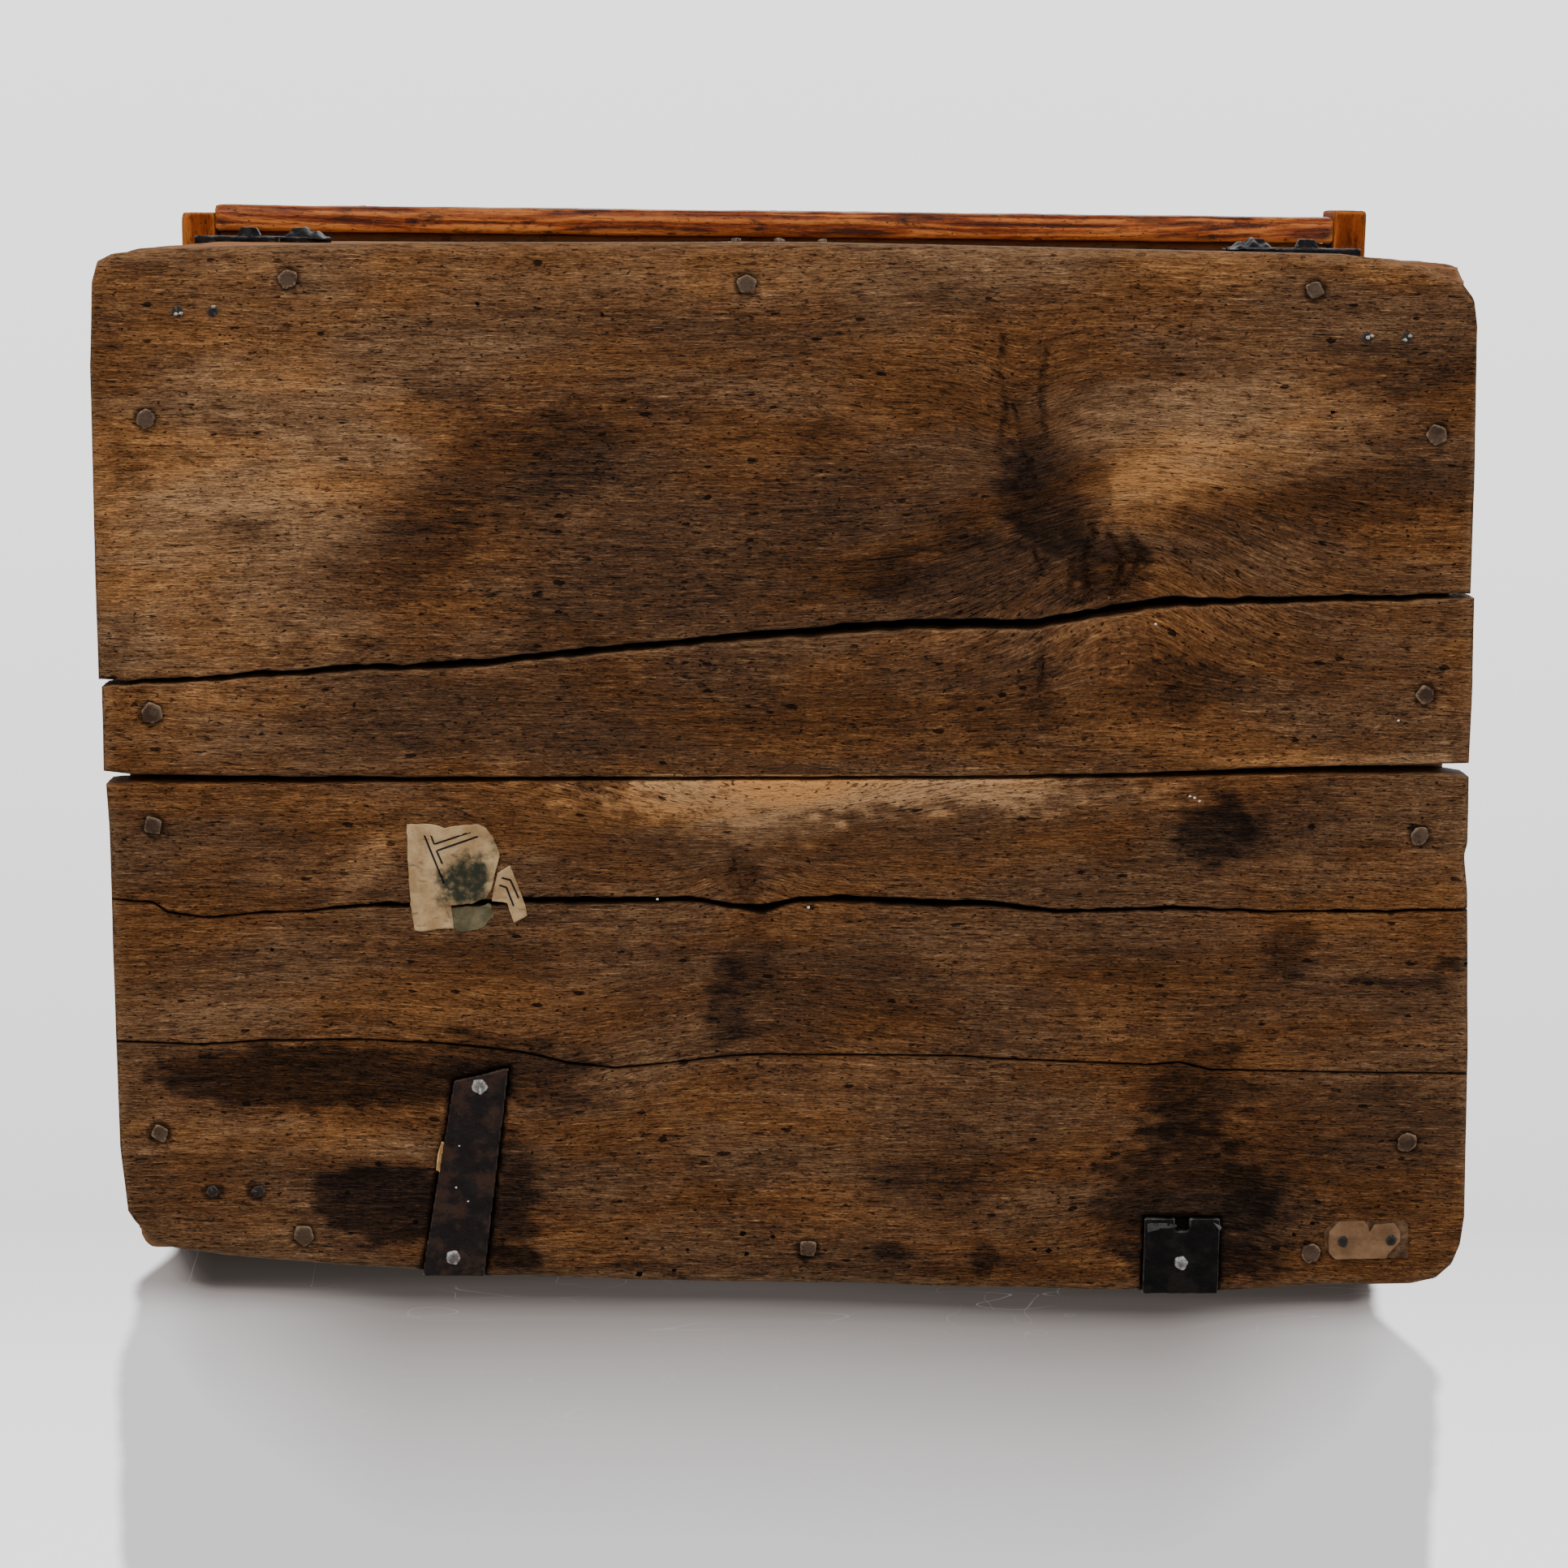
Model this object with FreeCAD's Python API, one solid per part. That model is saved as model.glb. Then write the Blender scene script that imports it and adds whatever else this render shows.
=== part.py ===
import FreeCAD, Part
import math
import os

# Sizes are in millimetres. The body stands on its bottom boards at z = 0, its front faces -Y
# and its long side runs along X.

# Body of the box
body_width = 396.0
body_depth = 304.0
wall_thickness = 16.0
wall_height = 228.0
wall_corner_radius = 5.0

# Bottom boards: how far each runs past the outer faces of the walls
bottom_thickness = 16.0
front_overhang = 1.0
front_edge_bow = 3.0
front_board_past_left = 6.4
front_board_past_right = 2.8
middle_board_past_left = 5.4
middle_board_past_right = 4.7
back_board_past_left = 3.8
back_board_past_right = 8.2
back_overhang_left = -2.0
back_overhang_right = 7.5
back_edge_bow = 2.4
front_left_radius = 7.0
front_right_radius = 17.0
back_left_radius = 13.0
back_right_radius = 13.0

# The long split behind the front board and the gap before the back board, at the box's sides
split_left_y = -26.0
split_right_y = -55.0
split_bow = 1.8
split_width = 1.6
gap_left_y = 2.5
gap_right_y = -2.8
gap_width = 2.4

# Forged nails: head width, head height, shank width at the head, whole length
board_nail = (6.4, 1.6, 3.4, 42.0)
wall_nail = (6.0, 1.6, 3.2, 44.0)
strap_nail = (5.2, 1.2, 2.6, 13.0)
iron_nail = (9.0, 3.0, 2.8, 13.0)
plate_nail = (3.6, 1.0, 1.9, 12.0)
lid_nail = (4.6, 1.2, 2.8, 32.0)
tack = (3.2, 0.8, 1.6, 9.0)
nail_point_share = 0.35
flush_depth = 0.2

# Places of the nails under the bottom
front_nail_in_left = 51.0
front_nail_in_right = 47.0
front_nail_middle_shift = -14.6
front_nail_inset = 7.8
left_nail_y = (-103.5, -16.8, 16.7, 110.6)
right_nail_y = (-102.7, -25.3, 17.2, 112.1)
side_nail_inset = 9.3
back_nail_in_left = 52.0
back_nail_in_right = 37.2
back_nail_middle_shift = 6.8
back_nail_insets = (9.4, 5.6, 5.0)

# Nails through the front and back walls into the ends of the side walls, above the bottom
wall_nail_heights = (34.0, 104.0, 208.0)

# Card foot at the back right corner and the tacks left of the other three: the middle of each
# pair in from the outer faces of the walls, and the step between its two tacks
pad_length = 25.5
pad_width = 11.6
pad_thickness = 1.4
pad_corner_radius = 2.0
front_left_tacks = (24.1, 17.5, 10.3)
front_right_tacks = (25.5, 21.4, 11.5)
back_left_tacks = (31.7, 23.3, 13.6)
back_right_tacks = (20.4, 9.3, 14.7)

# Lid with a strip along its front edge and a batten on each side
lid_thickness = 16.0
lid_seat_gap = 0.3
lip_drop = 8.0
side_clearance = 2.0
front_clearance = 3.2
strip_thickness = 9.2
strip_round = 3.4
batten_thickness = 12.0
batten_round = 2.0
left_batten_setback = 3.0
right_batten_proud = 2.5
strip_nail_spread = 150.0
batten_nail_spread = 118.0

# Hinges
strap_thickness = 2.0
hinge_left_x = -100.5
hinge_right_x = 121.0
left_strap_width = 18.8
right_strap_width = 23.0
pin_radius = 2.5
pin_running_gap = 0.05
pin_head_radius = 3.6
pin_head_height = 1.4
knuckle_share = 0.36
knuckle_gap = 0.4
strap_seat_depth = 1.0
strap_jog_height = 14.0
seat_clearance = 0.4
left_tail_length = 61.0
left_tail_slant = 8.4
left_tail_end_width = 16.4
left_tail_end_skew = 4.0
right_tail_length = 22.0
right_tail_lost = 1.6
right_tail_notch_width = 4.2
right_tail_notch_depth = 4.0
left_tail_nail_end = 3.5
tail_nail_root = 4.0
right_tail_nail_root = 8.0
strap_nail_first = 26.0
strap_nail_step = 74.0
strap_nail_count = 3
leaf_band_length = 96.0
leaf_finial_length = 34.0
leaf_finial_width = 30.0
leaf_nail_first = 20.0
leaf_nail_step = 42.0
leaf_nail_count = 2

# Corner irons
iron_band_width = 11.0
iron_thickness = 2.0
iron_drop = 54.0
iron_leg_length = 26.0
iron_finial_length = 18.0
iron_finial_width = 19.0
iron_nail_first = 11.0

# Lock
plate_thickness = 1.6
escutcheon_width = 41.0
escutcheon_height = 52.0
escutcheon_corner = 7.0
escutcheon_nail_inset = 5.5
key_drop = 44.0
keyhole_radius = 4.5
keyhole_slot_width = 5.0
keyhole_length = 15.0
lock_plate_width = 84.0
lock_plate_height = 50.0
lock_plate_nail_inset = 5.0
bolt_length = 56.0
bolt_height = 10.0
bolt_thickness = 5.0
bolt_throw = 12.0
bolt_drop = 27.0
bolt_standoff = 7.0
bolt_gap = 0.3
talon_width = 12.0
talon_depth = 3.5
guide_length = 6.0
guide_wall = 3.0
guide_spacing = 38.0
bridge_span = 40.0
bridge_height = 10.0
bridge_thickness = 2.0
bridge_depth = 16.0
bridge_foot = 7.0
key_post_radius = 2.0
key_post_length = 9.0
spring_thickness = 0.9
spring_width = 4.0
spring_rise = 5.0
spring_block = 5.0
spring_length = 26.0
staple_thickness = 3.0
staple_gap = 2.0
staple_rim = 3.0
staple_eye_gap = 1.0
staple_flange_length = 34.0
staple_flange_thickness = 2.0
staple_nail_inset = 6.0

# Coin slot
slot_length = 50.0
slot_width = 6.0
slot_plate_length = 92.0
slot_plate_width = 36.0
slot_plate_corner = 6.0
slot_nail_inset = 6.0

V = FreeCAD.Vector
half_width = body_width / 2
half_depth = body_depth / 2
wall_top = bottom_thickness + wall_height
lid_low = wall_top + lid_seat_gap
lid_top = lid_low + lid_thickness
lip_low = lid_low - lip_drop
lid_half = half_width + side_clearance
lid_front = -half_depth - front_clearance
strip_front = lid_front - strip_thickness
knuckle_radius = pin_radius + strap_thickness
axis_y = half_depth + knuckle_radius
axis_z = wall_top
inner_front = wall_thickness - half_depth
plate_face = inner_front + plate_thickness
bolt_y = plate_face + bolt_standoff
bolt_z = wall_top - bolt_drop
key_z = wall_top - key_drop
iron_z = wall_top - iron_drop

# The origin lies under the middle of the whole box, hinges and lid strip included
row_front = strip_front - right_batten_proud
row_back = axis_y + knuckle_radius
row_shift = -(row_front + row_back) / 2


def block(x0, x1, y0, y1, z0, z1):
    """A rectangular block between two corners."""
    return Part.makeBox(x1 - x0, y1 - y0, z1 - z0, V(x0, y0, z0))


def prism(points, rise):
    """A straight prism on a polygon of points, raised by a vector."""
    wire = Part.makePolygon(points + [points[0]])
    return Part.Face(wire).extrude(rise)


def bowed(start, end, middle):
    """An arc from start to end through a middle point."""
    return Part.Arc(start, middle, end).toShape()


def upright_edges(shape, places):
    """The vertical edges of a shape that stand at the given (x, y) places."""
    found = []
    for edge in shape.Edges:
        low, high = edge.Vertexes[0].Point, edge.Vertexes[-1].Point
        if abs(low.x - high.x) + abs(low.y - high.y) > 0.001:
            continue
        for x, y in places:
            if abs(low.x - x) + abs(low.y - y) < 0.01:
                found.append(edge)
    return found


def long_edges(shape, axis, places):
    """The straight edges along X ('x') or Y ('y') through the given cross-section places."""
    found = []
    for edge in shape.Edges:
        low, high = edge.Vertexes[0].Point, edge.Vertexes[-1].Point
        along = V(abs(low.x - high.x), abs(low.y - high.y), abs(low.z - high.z))
        if axis == "x" and along.y + along.z < 0.001:
            spot = (low.y, low.z)
        elif axis == "y" and along.x + along.z < 0.001:
            spot = (low.x, low.z)
        else:
            continue
        for a, b in places:
            if abs(spot[0] - a) + abs(spot[1] - b) < 0.01:
                found.append(edge)
    return found


def forged_nail(sizes):
    """A nail along +Z, its faceted head on top of z = 0 downwards and its shank tapering up."""
    head, head_height, shank, length = sizes
    rim = [V(head / 2 * math.cos(a), head / 2 * math.sin(a), 0)
           for a in [math.radians(22.5 + 45 * i) for i in range(8)]]
    low = Part.makePolygon([p * 0.62 for p in rim] + [rim[0] * 0.62])
    high = Part.makePolygon([p + V(0, 0, head_height) for p in rim] + [rim[0] + V(0, 0, head_height)])
    head_solid = Part.makeLoft([low, high], True, True)

    def square(side, z):
        s = side / 2
        corners = [V(-s, -s, z), V(s, -s, z), V(s, s, z), V(-s, s, z)]
        return Part.makePolygon(corners + [corners[0]])

    stem = Part.makeLoft([square(shank, head_height), square(shank * nail_point_share, length)], True, True)
    return head_solid.fuse(stem).removeSplitter()


def flush_nail(sizes):
    """A nail along +Z whose head is an even disc that sits in the wood."""
    head, head_height, shank, length = sizes
    rim = [V(head / 2 * math.cos(a), head / 2 * math.sin(a), 0)
           for a in [math.radians(45 * i) for i in range(8)]]
    head_solid = prism(rim, V(0, 0, head_height))
    half, point = shank / 2, shank * nail_point_share / 2

    def square(s, z):
        corners = [V(-s, -s, z), V(s, -s, z), V(s, s, z), V(-s, s, z)]
        return Part.makePolygon(corners + [corners[0]])

    stem = Part.makeLoft([square(half, head_height), square(point, length)], True, True)
    return head_solid.fuse(stem).removeSplitter()


def driven(nail, place, direction):
    """A copy of a nail with its head at a place, driven in a direction."""
    copy = nail.copy()
    copy.Placement = FreeCAD.Placement(place, FreeCAD.Rotation(V(0, 0, 1), direction))
    return copy


def back_edge_y(x):
    """Where the bowed back edge of the bottom lies at x."""
    left, right = -half_width - back_board_past_left, half_width + back_board_past_right
    t = (x - left) / (right - left)
    straight = half_depth + back_overhang_left + t * (back_overhang_right - back_overhang_left)
    return straight + 4 * t * (1 - t) * back_edge_bow


def seam_y(x, left_y, right_y):
    """A seam's straight run between the box's two sides."""
    return left_y + (x + half_width) / body_width * (right_y - left_y)


def seam_edge(x_from, x_to, left_y, right_y, bow, shift):
    """One lip of a seam across the bottom, moved by shift along Y."""
    x_mid = (x_from + x_to) / 2
    ends = [V(x, seam_y(x, left_y, right_y) + shift, 0) for x in (x_from, x_to)]
    if bow == 0:
        return Part.LineSegment(ends[0], ends[1]).toShape()
    return bowed(ends[0], ends[1], V(x_mid, seam_y(x_mid, left_y, right_y) + shift - bow, 0))


def board_between(front, back):
    """A bottom board between two edges that both run from left to right."""
    left = Part.LineSegment(back.Vertexes[0].Point, front.Vertexes[0].Point).toShape()
    right = Part.LineSegment(front.Vertexes[-1].Point, back.Vertexes[-1].Point).toShape()
    wire = Part.Wire(Part.__sortEdges__([front, right, back, left]))
    return Part.Face(wire).extrude(V(0, 0, bottom_thickness))


def bottom_board_front():
    x0, x1 = -half_width - front_board_past_left, half_width + front_board_past_right
    y = -half_depth - front_overhang
    front = bowed(V(x0, y, 0), V(x1, y, 0), V((x0 + x1) / 2, y - front_edge_bow, 0))
    back = seam_edge(x0, x1, split_left_y, split_right_y, split_bow, -split_width / 2)
    board = board_between(front, back)
    board = board.makeFillet(front_left_radius, upright_edges(board, [(x0, y)]))
    return board.makeFillet(front_right_radius, upright_edges(board, [(x1, y)]))


def bottom_board_middle():
    x0, x1 = -half_width - middle_board_past_left, half_width + middle_board_past_right
    front = seam_edge(x0, x1, split_left_y, split_right_y, split_bow, split_width / 2)
    back = seam_edge(x0, x1, gap_left_y, gap_right_y, 0, -gap_width / 2)
    return board_between(front, back)


def bottom_board_back():
    x0, x1 = -half_width - back_board_past_left, half_width + back_board_past_right
    front = seam_edge(x0, x1, gap_left_y, gap_right_y, 0, gap_width / 2)
    y0, y1 = back_edge_y(x0), back_edge_y(x1)
    x_mid = (x0 + x1) / 2
    back = bowed(V(x0, y0, 0), V(x1, y1, 0), V(x_mid, back_edge_y(x_mid), 0))
    board = board_between(front, back)
    board = board.makeFillet(back_left_radius, upright_edges(board, [(x0, y0)]))
    return board.makeFillet(back_right_radius, upright_edges(board, [(x1, y1)]))


def long_wall(side):
    """The front (-1) or back (+1) wall, over the ends of the side walls."""
    outer = side * half_depth
    inner = side * (half_depth - wall_thickness)
    wall = block(-half_width, half_width, min(outer, inner), max(outer, inner), bottom_thickness, wall_top)
    return wall.makeFillet(wall_corner_radius, upright_edges(wall, [(-half_width, outer), (half_width, outer)]))


def side_wall(side):
    """The left (-1) or right (+1) wall between the long walls."""
    outer = side * half_width
    inner = side * (half_width - wall_thickness)
    reach = half_depth - wall_thickness
    return block(min(outer, inner), max(outer, inner), -reach, reach, bottom_thickness, wall_top)


def bottom_nails():
    nail = flush_nail(board_nail)
    spots = []
    front_y = front_nail_inset - half_depth
    for x in (front_nail_in_left - half_width, front_nail_middle_shift, half_width - front_nail_in_right):
        spots.append((x, front_y))
    for y in left_nail_y:
        spots.append((side_nail_inset - half_width, y))
    for y in right_nail_y:
        spots.append((half_width - side_nail_inset, y))
    back_x = (back_nail_in_left - half_width, back_nail_middle_shift, half_width - back_nail_in_right)
    for x, inset in zip(back_x, back_nail_insets):
        spots.append((x, half_depth - inset))
    return [driven(nail, V(x, y, flush_depth), V(0, 0, 1)) for x, y in spots]


def wall_nails():
    nail = flush_nail(wall_nail)
    nails = []
    for height in wall_nail_heights:
        z = bottom_thickness + height
        for x in (wall_thickness / 2 - half_width, half_width - wall_thickness / 2):
            nails.append(driven(nail, V(x, flush_depth - half_depth, z), V(0, 1, 0)))
            nails.append(driven(nail, V(x, half_depth - flush_depth, z), V(0, -1, 0)))
    return nails


def tack_pair(insets, side_x, side_y):
    """Two places beside a corner of the body, in line along X."""
    in_x, in_y, step = insets
    x, y = side_x * (half_width - in_x), side_y * (half_depth - in_y)
    return [(x - step / 2, y), (x + step / 2, y)]


def pad_tacks():
    small = flush_nail(tack)
    tacks = []
    for insets, sx, sy in ((front_left_tacks, -1, -1), (front_right_tacks, 1, -1), (back_left_tacks, -1, 1)):
        for x, y in tack_pair(insets, sx, sy):
            tacks.append(driven(small, V(x, y, flush_depth), V(0, 0, 1)))
    for x, y in tack_pair(back_right_tacks, 1, 1):
        tacks.append(driven(small, V(x, y, flush_depth - pad_thickness), V(0, 0, 1)))
    return tacks


def foot_pad():
    in_x, in_y, step = back_right_tacks
    x, y = half_width - in_x, half_depth - in_y
    sheet = block(x - pad_length / 2, x + pad_length / 2, y - pad_width / 2, y + pad_width / 2, -pad_thickness, 0)
    return sheet.makeFillet(pad_corner_radius, [e for e in sheet.Edges if abs(e.Length - pad_thickness) < 0.001])


def hinge_spans(width):
    """The width of the two outer knuckles and the middle one, from the strap's middle."""
    middle = width * knuckle_share / 2
    return (-width / 2, -middle), (-middle, middle), (middle, width / 2)


def knuckle(x0, x1, bore):
    """A rolled knuckle round the hinge axis."""
    outer = Part.makeCylinder(knuckle_radius, x1 - x0, V(x0, axis_y, axis_z), V(1, 0, 0))
    return outer.cut(Part.makeCylinder(bore, x1 - x0, V(x0, axis_y, axis_z), V(1, 0, 0)))


def strap_seat_y(x):
    """The flat seat of a strap on the back edge of the bottom."""
    return back_edge_y(x) - strap_seat_depth


def left_tail(grow):
    """Outline of the left strap's tail under the bottom, slanting forwards, grown all round."""
    root = strap_seat_y(hinge_left_x)
    end_x = hinge_left_x + left_tail_slant
    end_y = root - left_tail_length
    half_root, half_end = left_strap_width / 2 + grow, left_tail_end_width / 2 + grow
    skew = left_tail_end_skew / 2
    return [V(hinge_left_x - half_root, root, 0), V(hinge_left_x + half_root, root, 0),
            V(end_x + half_end, end_y - skew - grow, 0), V(end_x - half_end, end_y + skew - grow, 0)]


def right_tail(grow, lost):
    """Outline of the right strap's short tail, without the notch in its broken end."""
    root = strap_seat_y(hinge_right_x)
    end = root - right_tail_length - grow - lost
    half = right_strap_width / 2 + grow
    return [V(hinge_right_x - half, root, 0), V(hinge_right_x + half, root, 0),
            V(hinge_right_x + half, end, 0), V(hinge_right_x - half, end, 0)]


def lower_strap(x, width):
    """The strap down the back wall, jogged out round the bottom's edge, with its two knuckles."""
    seat = strap_seat_y(x)
    face, t = half_depth, strap_thickness
    jog_top = bottom_thickness + strap_jog_height
    profile = [V(x - width / 2, face, axis_z), V(x - width / 2, face, jog_top),
               V(x - width / 2, seat, bottom_thickness), V(x - width / 2, seat, 0),
               V(x - width / 2, seat + t, 0), V(x - width / 2, seat + t, bottom_thickness + t / 4),
               V(x - width / 2, face + t, jog_top + t / 4), V(x - width / 2, face + t, axis_z)]
    strap = prism(profile, V(width, 0, 0))
    outer_left, middle, outer_right = hinge_spans(width)
    room = block(x + middle[0] - knuckle_gap, x + middle[1] + knuckle_gap, face - 1, face + t + 1,
                 axis_z - knuckle_radius - knuckle_gap, axis_z + 1)
    strap = strap.cut(room)
    bore = Part.makeCylinder(pin_radius, width, V(x - width / 2, axis_y, axis_z), V(1, 0, 0))
    rings = [knuckle(x + outer_left[0], x + outer_left[1] - knuckle_gap, pin_radius),
             knuckle(x + outer_right[0] + knuckle_gap, x + outer_right[1], pin_radius)]
    return strap.cut(bore).fuse(rings)


def hinge_strap_left():
    tail = prism(left_tail(0), V(0, 0, strap_thickness))
    return lower_strap(hinge_left_x, left_strap_width).fuse(tail).removeSplitter()


def hinge_strap_right():
    outline = right_tail(0, 0)
    end = outline[2].y
    tail = prism(outline, V(0, 0, strap_thickness))
    notch = block(hinge_right_x - right_tail_notch_width / 2, hinge_right_x + right_tail_notch_width / 2,
                  end - 1, end + right_tail_notch_depth, -1, strap_thickness + 1)
    return lower_strap(hinge_right_x, right_strap_width).fuse(tail.cut(notch)).removeSplitter()


def strap_recesses():
    """What the straps take out of the back board: their seats on its edge and their beds under it."""
    beds = [prism(left_tail(seat_clearance), V(0, 0, strap_thickness)),
            prism(right_tail(seat_clearance, right_tail_lost), V(0, 0, strap_thickness))]
    for x, width in ((hinge_left_x, left_strap_width), (hinge_right_x, right_strap_width)):
        seat = strap_seat_y(x)
        half = width / 2 + seat_clearance
        beds.append(block(x - half, x + half, seat, seat + 4 * strap_seat_depth + 2 * back_edge_bow,
                          0, bottom_thickness))
    return beds


def hinge_strap_nails():
    nail = flush_nail(strap_nail)
    nails = []
    for x in (hinge_left_x, hinge_right_x):
        for i in range(strap_nail_count):
            z = wall_top - strap_nail_first - i * strap_nail_step
            nails.append(driven(nail, V(x, half_depth + strap_thickness - flush_depth, z), V(0, -1, 0)))
    root = strap_seat_y(hinge_left_x)
    end_y = root - left_tail_length + left_tail_nail_end
    end_x = hinge_left_x + left_tail_slant * (root - end_y) / left_tail_length
    under = [(hinge_left_x, root - tail_nail_root), (end_x, end_y),
             (hinge_right_x, strap_seat_y(hinge_right_x) - right_tail_nail_root)]
    for x, y in under:
        nails.append(driven(nail, V(x, y, flush_depth), V(0, 0, 1)))
    return nails


def hinge_pin(x, width):
    """A pin through the three knuckles with a peened head at each end."""
    start = x - width / 2 - pin_head_height
    pin = Part.makeCylinder(pin_radius, width, V(x - width / 2, axis_y, axis_z), V(1, 0, 0))
    heads = [Part.makeCone(pin_radius, pin_head_radius, pin_head_height, V(start, axis_y, axis_z), V(1, 0, 0)),
             Part.makeCone(pin_head_radius, pin_radius, pin_head_height, V(x + width / 2, axis_y, axis_z), V(1, 0, 0))]
    return pin.fuse(heads).removeSplitter()


def finial(length, width, neck, thickness):
    """A leaf-shaped end along +X from x = 0, lying on z = 0."""
    lobe = V(length * 0.42, width / 2, 0)
    start, tip = V(0, neck / 2, 0), V(length, 0, 0)
    upper = [bowed(start, lobe, V(length * 0.12, width * 0.4, 0)),
             bowed(lobe, tip, V(length * 0.72, width * 0.34, 0))]
    flip = [V(p.x, -p.y, 0) for p in (start, lobe, tip)]
    lower = [bowed(flip[0], flip[1], V(length * 0.12, -width * 0.4, 0)),
             bowed(flip[1], flip[2], V(length * 0.72, -width * 0.34, 0))]
    neck_edge = Part.LineSegment(flip[0], start).toShape()
    wire = Part.Wire(Part.__sortEdges__(upper + lower + [neck_edge]))
    return Part.Face(wire).extrude(V(0, 0, thickness))


def hinge_leaf(x, width):
    """The upper leaf: middle knuckle, up the lid's back edge, then forwards along its top."""
    face, t = half_depth, strap_thickness
    low = axis_z + knuckle_radius + knuckle_gap
    outer_left, middle, outer_right = hinge_spans(width)
    upright = block(x - width / 2, x + width / 2, face, face + t, low, lid_top + t)
    neck = block(x + middle[0], x + middle[1], face, face + t, axis_z, low)
    neck = neck.cut(Part.makeCylinder(pin_radius + pin_running_gap, width,
                                      V(x - width / 2, axis_y, axis_z), V(1, 0, 0)))
    ring = knuckle(x + middle[0], x + middle[1], pin_radius + pin_running_gap)
    band = block(x - width / 2, x + width / 2, face - leaf_band_length, face, lid_top, lid_top + t)
    leaf = finial(leaf_finial_length, leaf_finial_width, width, t)
    leaf.Placement = FreeCAD.Placement(V(x, face - leaf_band_length, lid_top),
                                       FreeCAD.Rotation(V(0, 0, 1), -90))
    return upright.fuse([neck, ring, band, leaf]).removeSplitter()


def hinge_leaf_nails():
    nail = forged_nail(strap_nail)
    nails = []
    top = lid_top + strap_thickness
    for x in (hinge_left_x, hinge_right_x):
        spots = [half_depth - leaf_nail_first - i * leaf_nail_step for i in range(leaf_nail_count)]
        spots.append(half_depth - leaf_band_length - leaf_finial_length * 0.42)
        for y in spots:
            nails.append(driven(nail, V(x, y, top + strap_nail[1]), V(0, 0, -1)))
    return nails


def corner_iron(side):
    """An angle iron round a front corner, each leg ending in a leaf."""
    t, half = iron_thickness, iron_band_width / 2
    reach = iron_leg_length
    x, y = side * half_width, -half_depth
    front = block(min(x + side * t, x - side * reach), max(x + side * t, x - side * reach), y - t, y,
                  iron_z - half, iron_z + half)
    flank = block(min(x, x + side * t), max(x, x + side * t), y, y + reach, iron_z - half, iron_z + half)
    corner = block(min(x, x - side * wall_corner_radius), max(x, x - side * wall_corner_radius),
                   y, y + wall_corner_radius, iron_z - half, iron_z + half)
    round_x, round_y = x - side * wall_corner_radius, y + wall_corner_radius
    corner = corner.cut(Part.makeCylinder(wall_corner_radius, iron_band_width,
                                          V(round_x, round_y, iron_z - half)))
    leaf = finial(iron_finial_length, iron_finial_width, iron_band_width, t)
    on_front = leaf.copy()
    on_front.Placement = FreeCAD.Placement(V(x - side * reach, y, iron_z), FreeCAD.Rotation(V(1, 0, 0), 90))
    on_flank = leaf.copy()
    turn = FreeCAD.Rotation(V(0, 0, 1), 90).multiply(FreeCAD.Rotation(V(1, 0, 0), 90))
    on_flank.Placement = FreeCAD.Placement(V(x, y + reach, iron_z), turn)
    if side > 0:
        on_front.rotate(V(x - reach, y - t / 2, iron_z), V(0, 0, 1), 180)
    else:
        on_flank.translate(V(-t, 0, 0))
    return front.fuse([flank, corner, on_front, on_flank]).removeSplitter()


def corner_iron_nails():
    nail = forged_nail(iron_nail)
    out = iron_thickness + iron_nail[1]
    far = iron_leg_length + iron_finial_length * 0.42
    nails = []
    for side in (-1, 1):
        for along in (iron_nail_first + wall_corner_radius, far):
            x = side * (half_width - along)
            nails.append(driven(nail, V(x, -half_depth - out, iron_z), V(0, 1, 0)))
            y = along - half_depth
            nails.append(driven(nail, V(side * (half_width + out), y, iron_z), V(-side, 0, 0)))
    return nails


def keyhole(y0, y1):
    """The keyhole's outline run from y0 to y1: a round top over a slot."""
    top = Part.makeCylinder(keyhole_radius, y1 - y0, V(0, y0, key_z), V(0, 1, 0))
    half = keyhole_slot_width / 2
    slot = block(-half, half, y0, y1, key_z - keyhole_length + keyhole_radius, key_z)
    return top.fuse(slot).removeSplitter()


def plate_corners(width, height, inset):
    """The four places in from a plate's corners, about its middle."""
    return [(sx * (width / 2 - inset), sz * (height / 2 - inset)) for sx in (-1, 1) for sz in (-1, 1)]


def lock_escutcheon():
    y = -half_depth
    low = key_z - escutcheon_height / 2
    plate = block(-escutcheon_width / 2, escutcheon_width / 2, y - plate_thickness, y, low,
                  low + escutcheon_height)
    ends = [e for e in plate.Edges if abs(e.Length - plate_thickness) < 0.001]
    return plate.makeChamfer(escutcheon_corner, ends).cut(keyhole(y - plate_thickness, y))


def escutcheon_nails():
    nail = forged_nail(plate_nail)
    y = -half_depth - plate_thickness - plate_nail[1]
    spots = [(sx * (escutcheon_width / 2 - escutcheon_nail_inset), 0) for sx in (-1, 1)]
    spots += [(0, sz * (escutcheon_height / 2 - escutcheon_nail_inset)) for sz in (-1, 1)]
    return [driven(nail, V(x, y, key_z + z), V(0, 1, 0)) for x, z in spots]


def lock_plate_middle():
    """Height of the middle of the lock plate, so that bolt and keyhole both lie on it."""
    return (bolt_z + key_z) / 2


def lock_plate():
    z = lock_plate_middle()
    plate = block(-lock_plate_width / 2, lock_plate_width / 2, inner_front, plate_face,
                  z - lock_plate_height / 2, z + lock_plate_height / 2)
    return plate.cut(keyhole(inner_front, plate_face))


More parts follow.
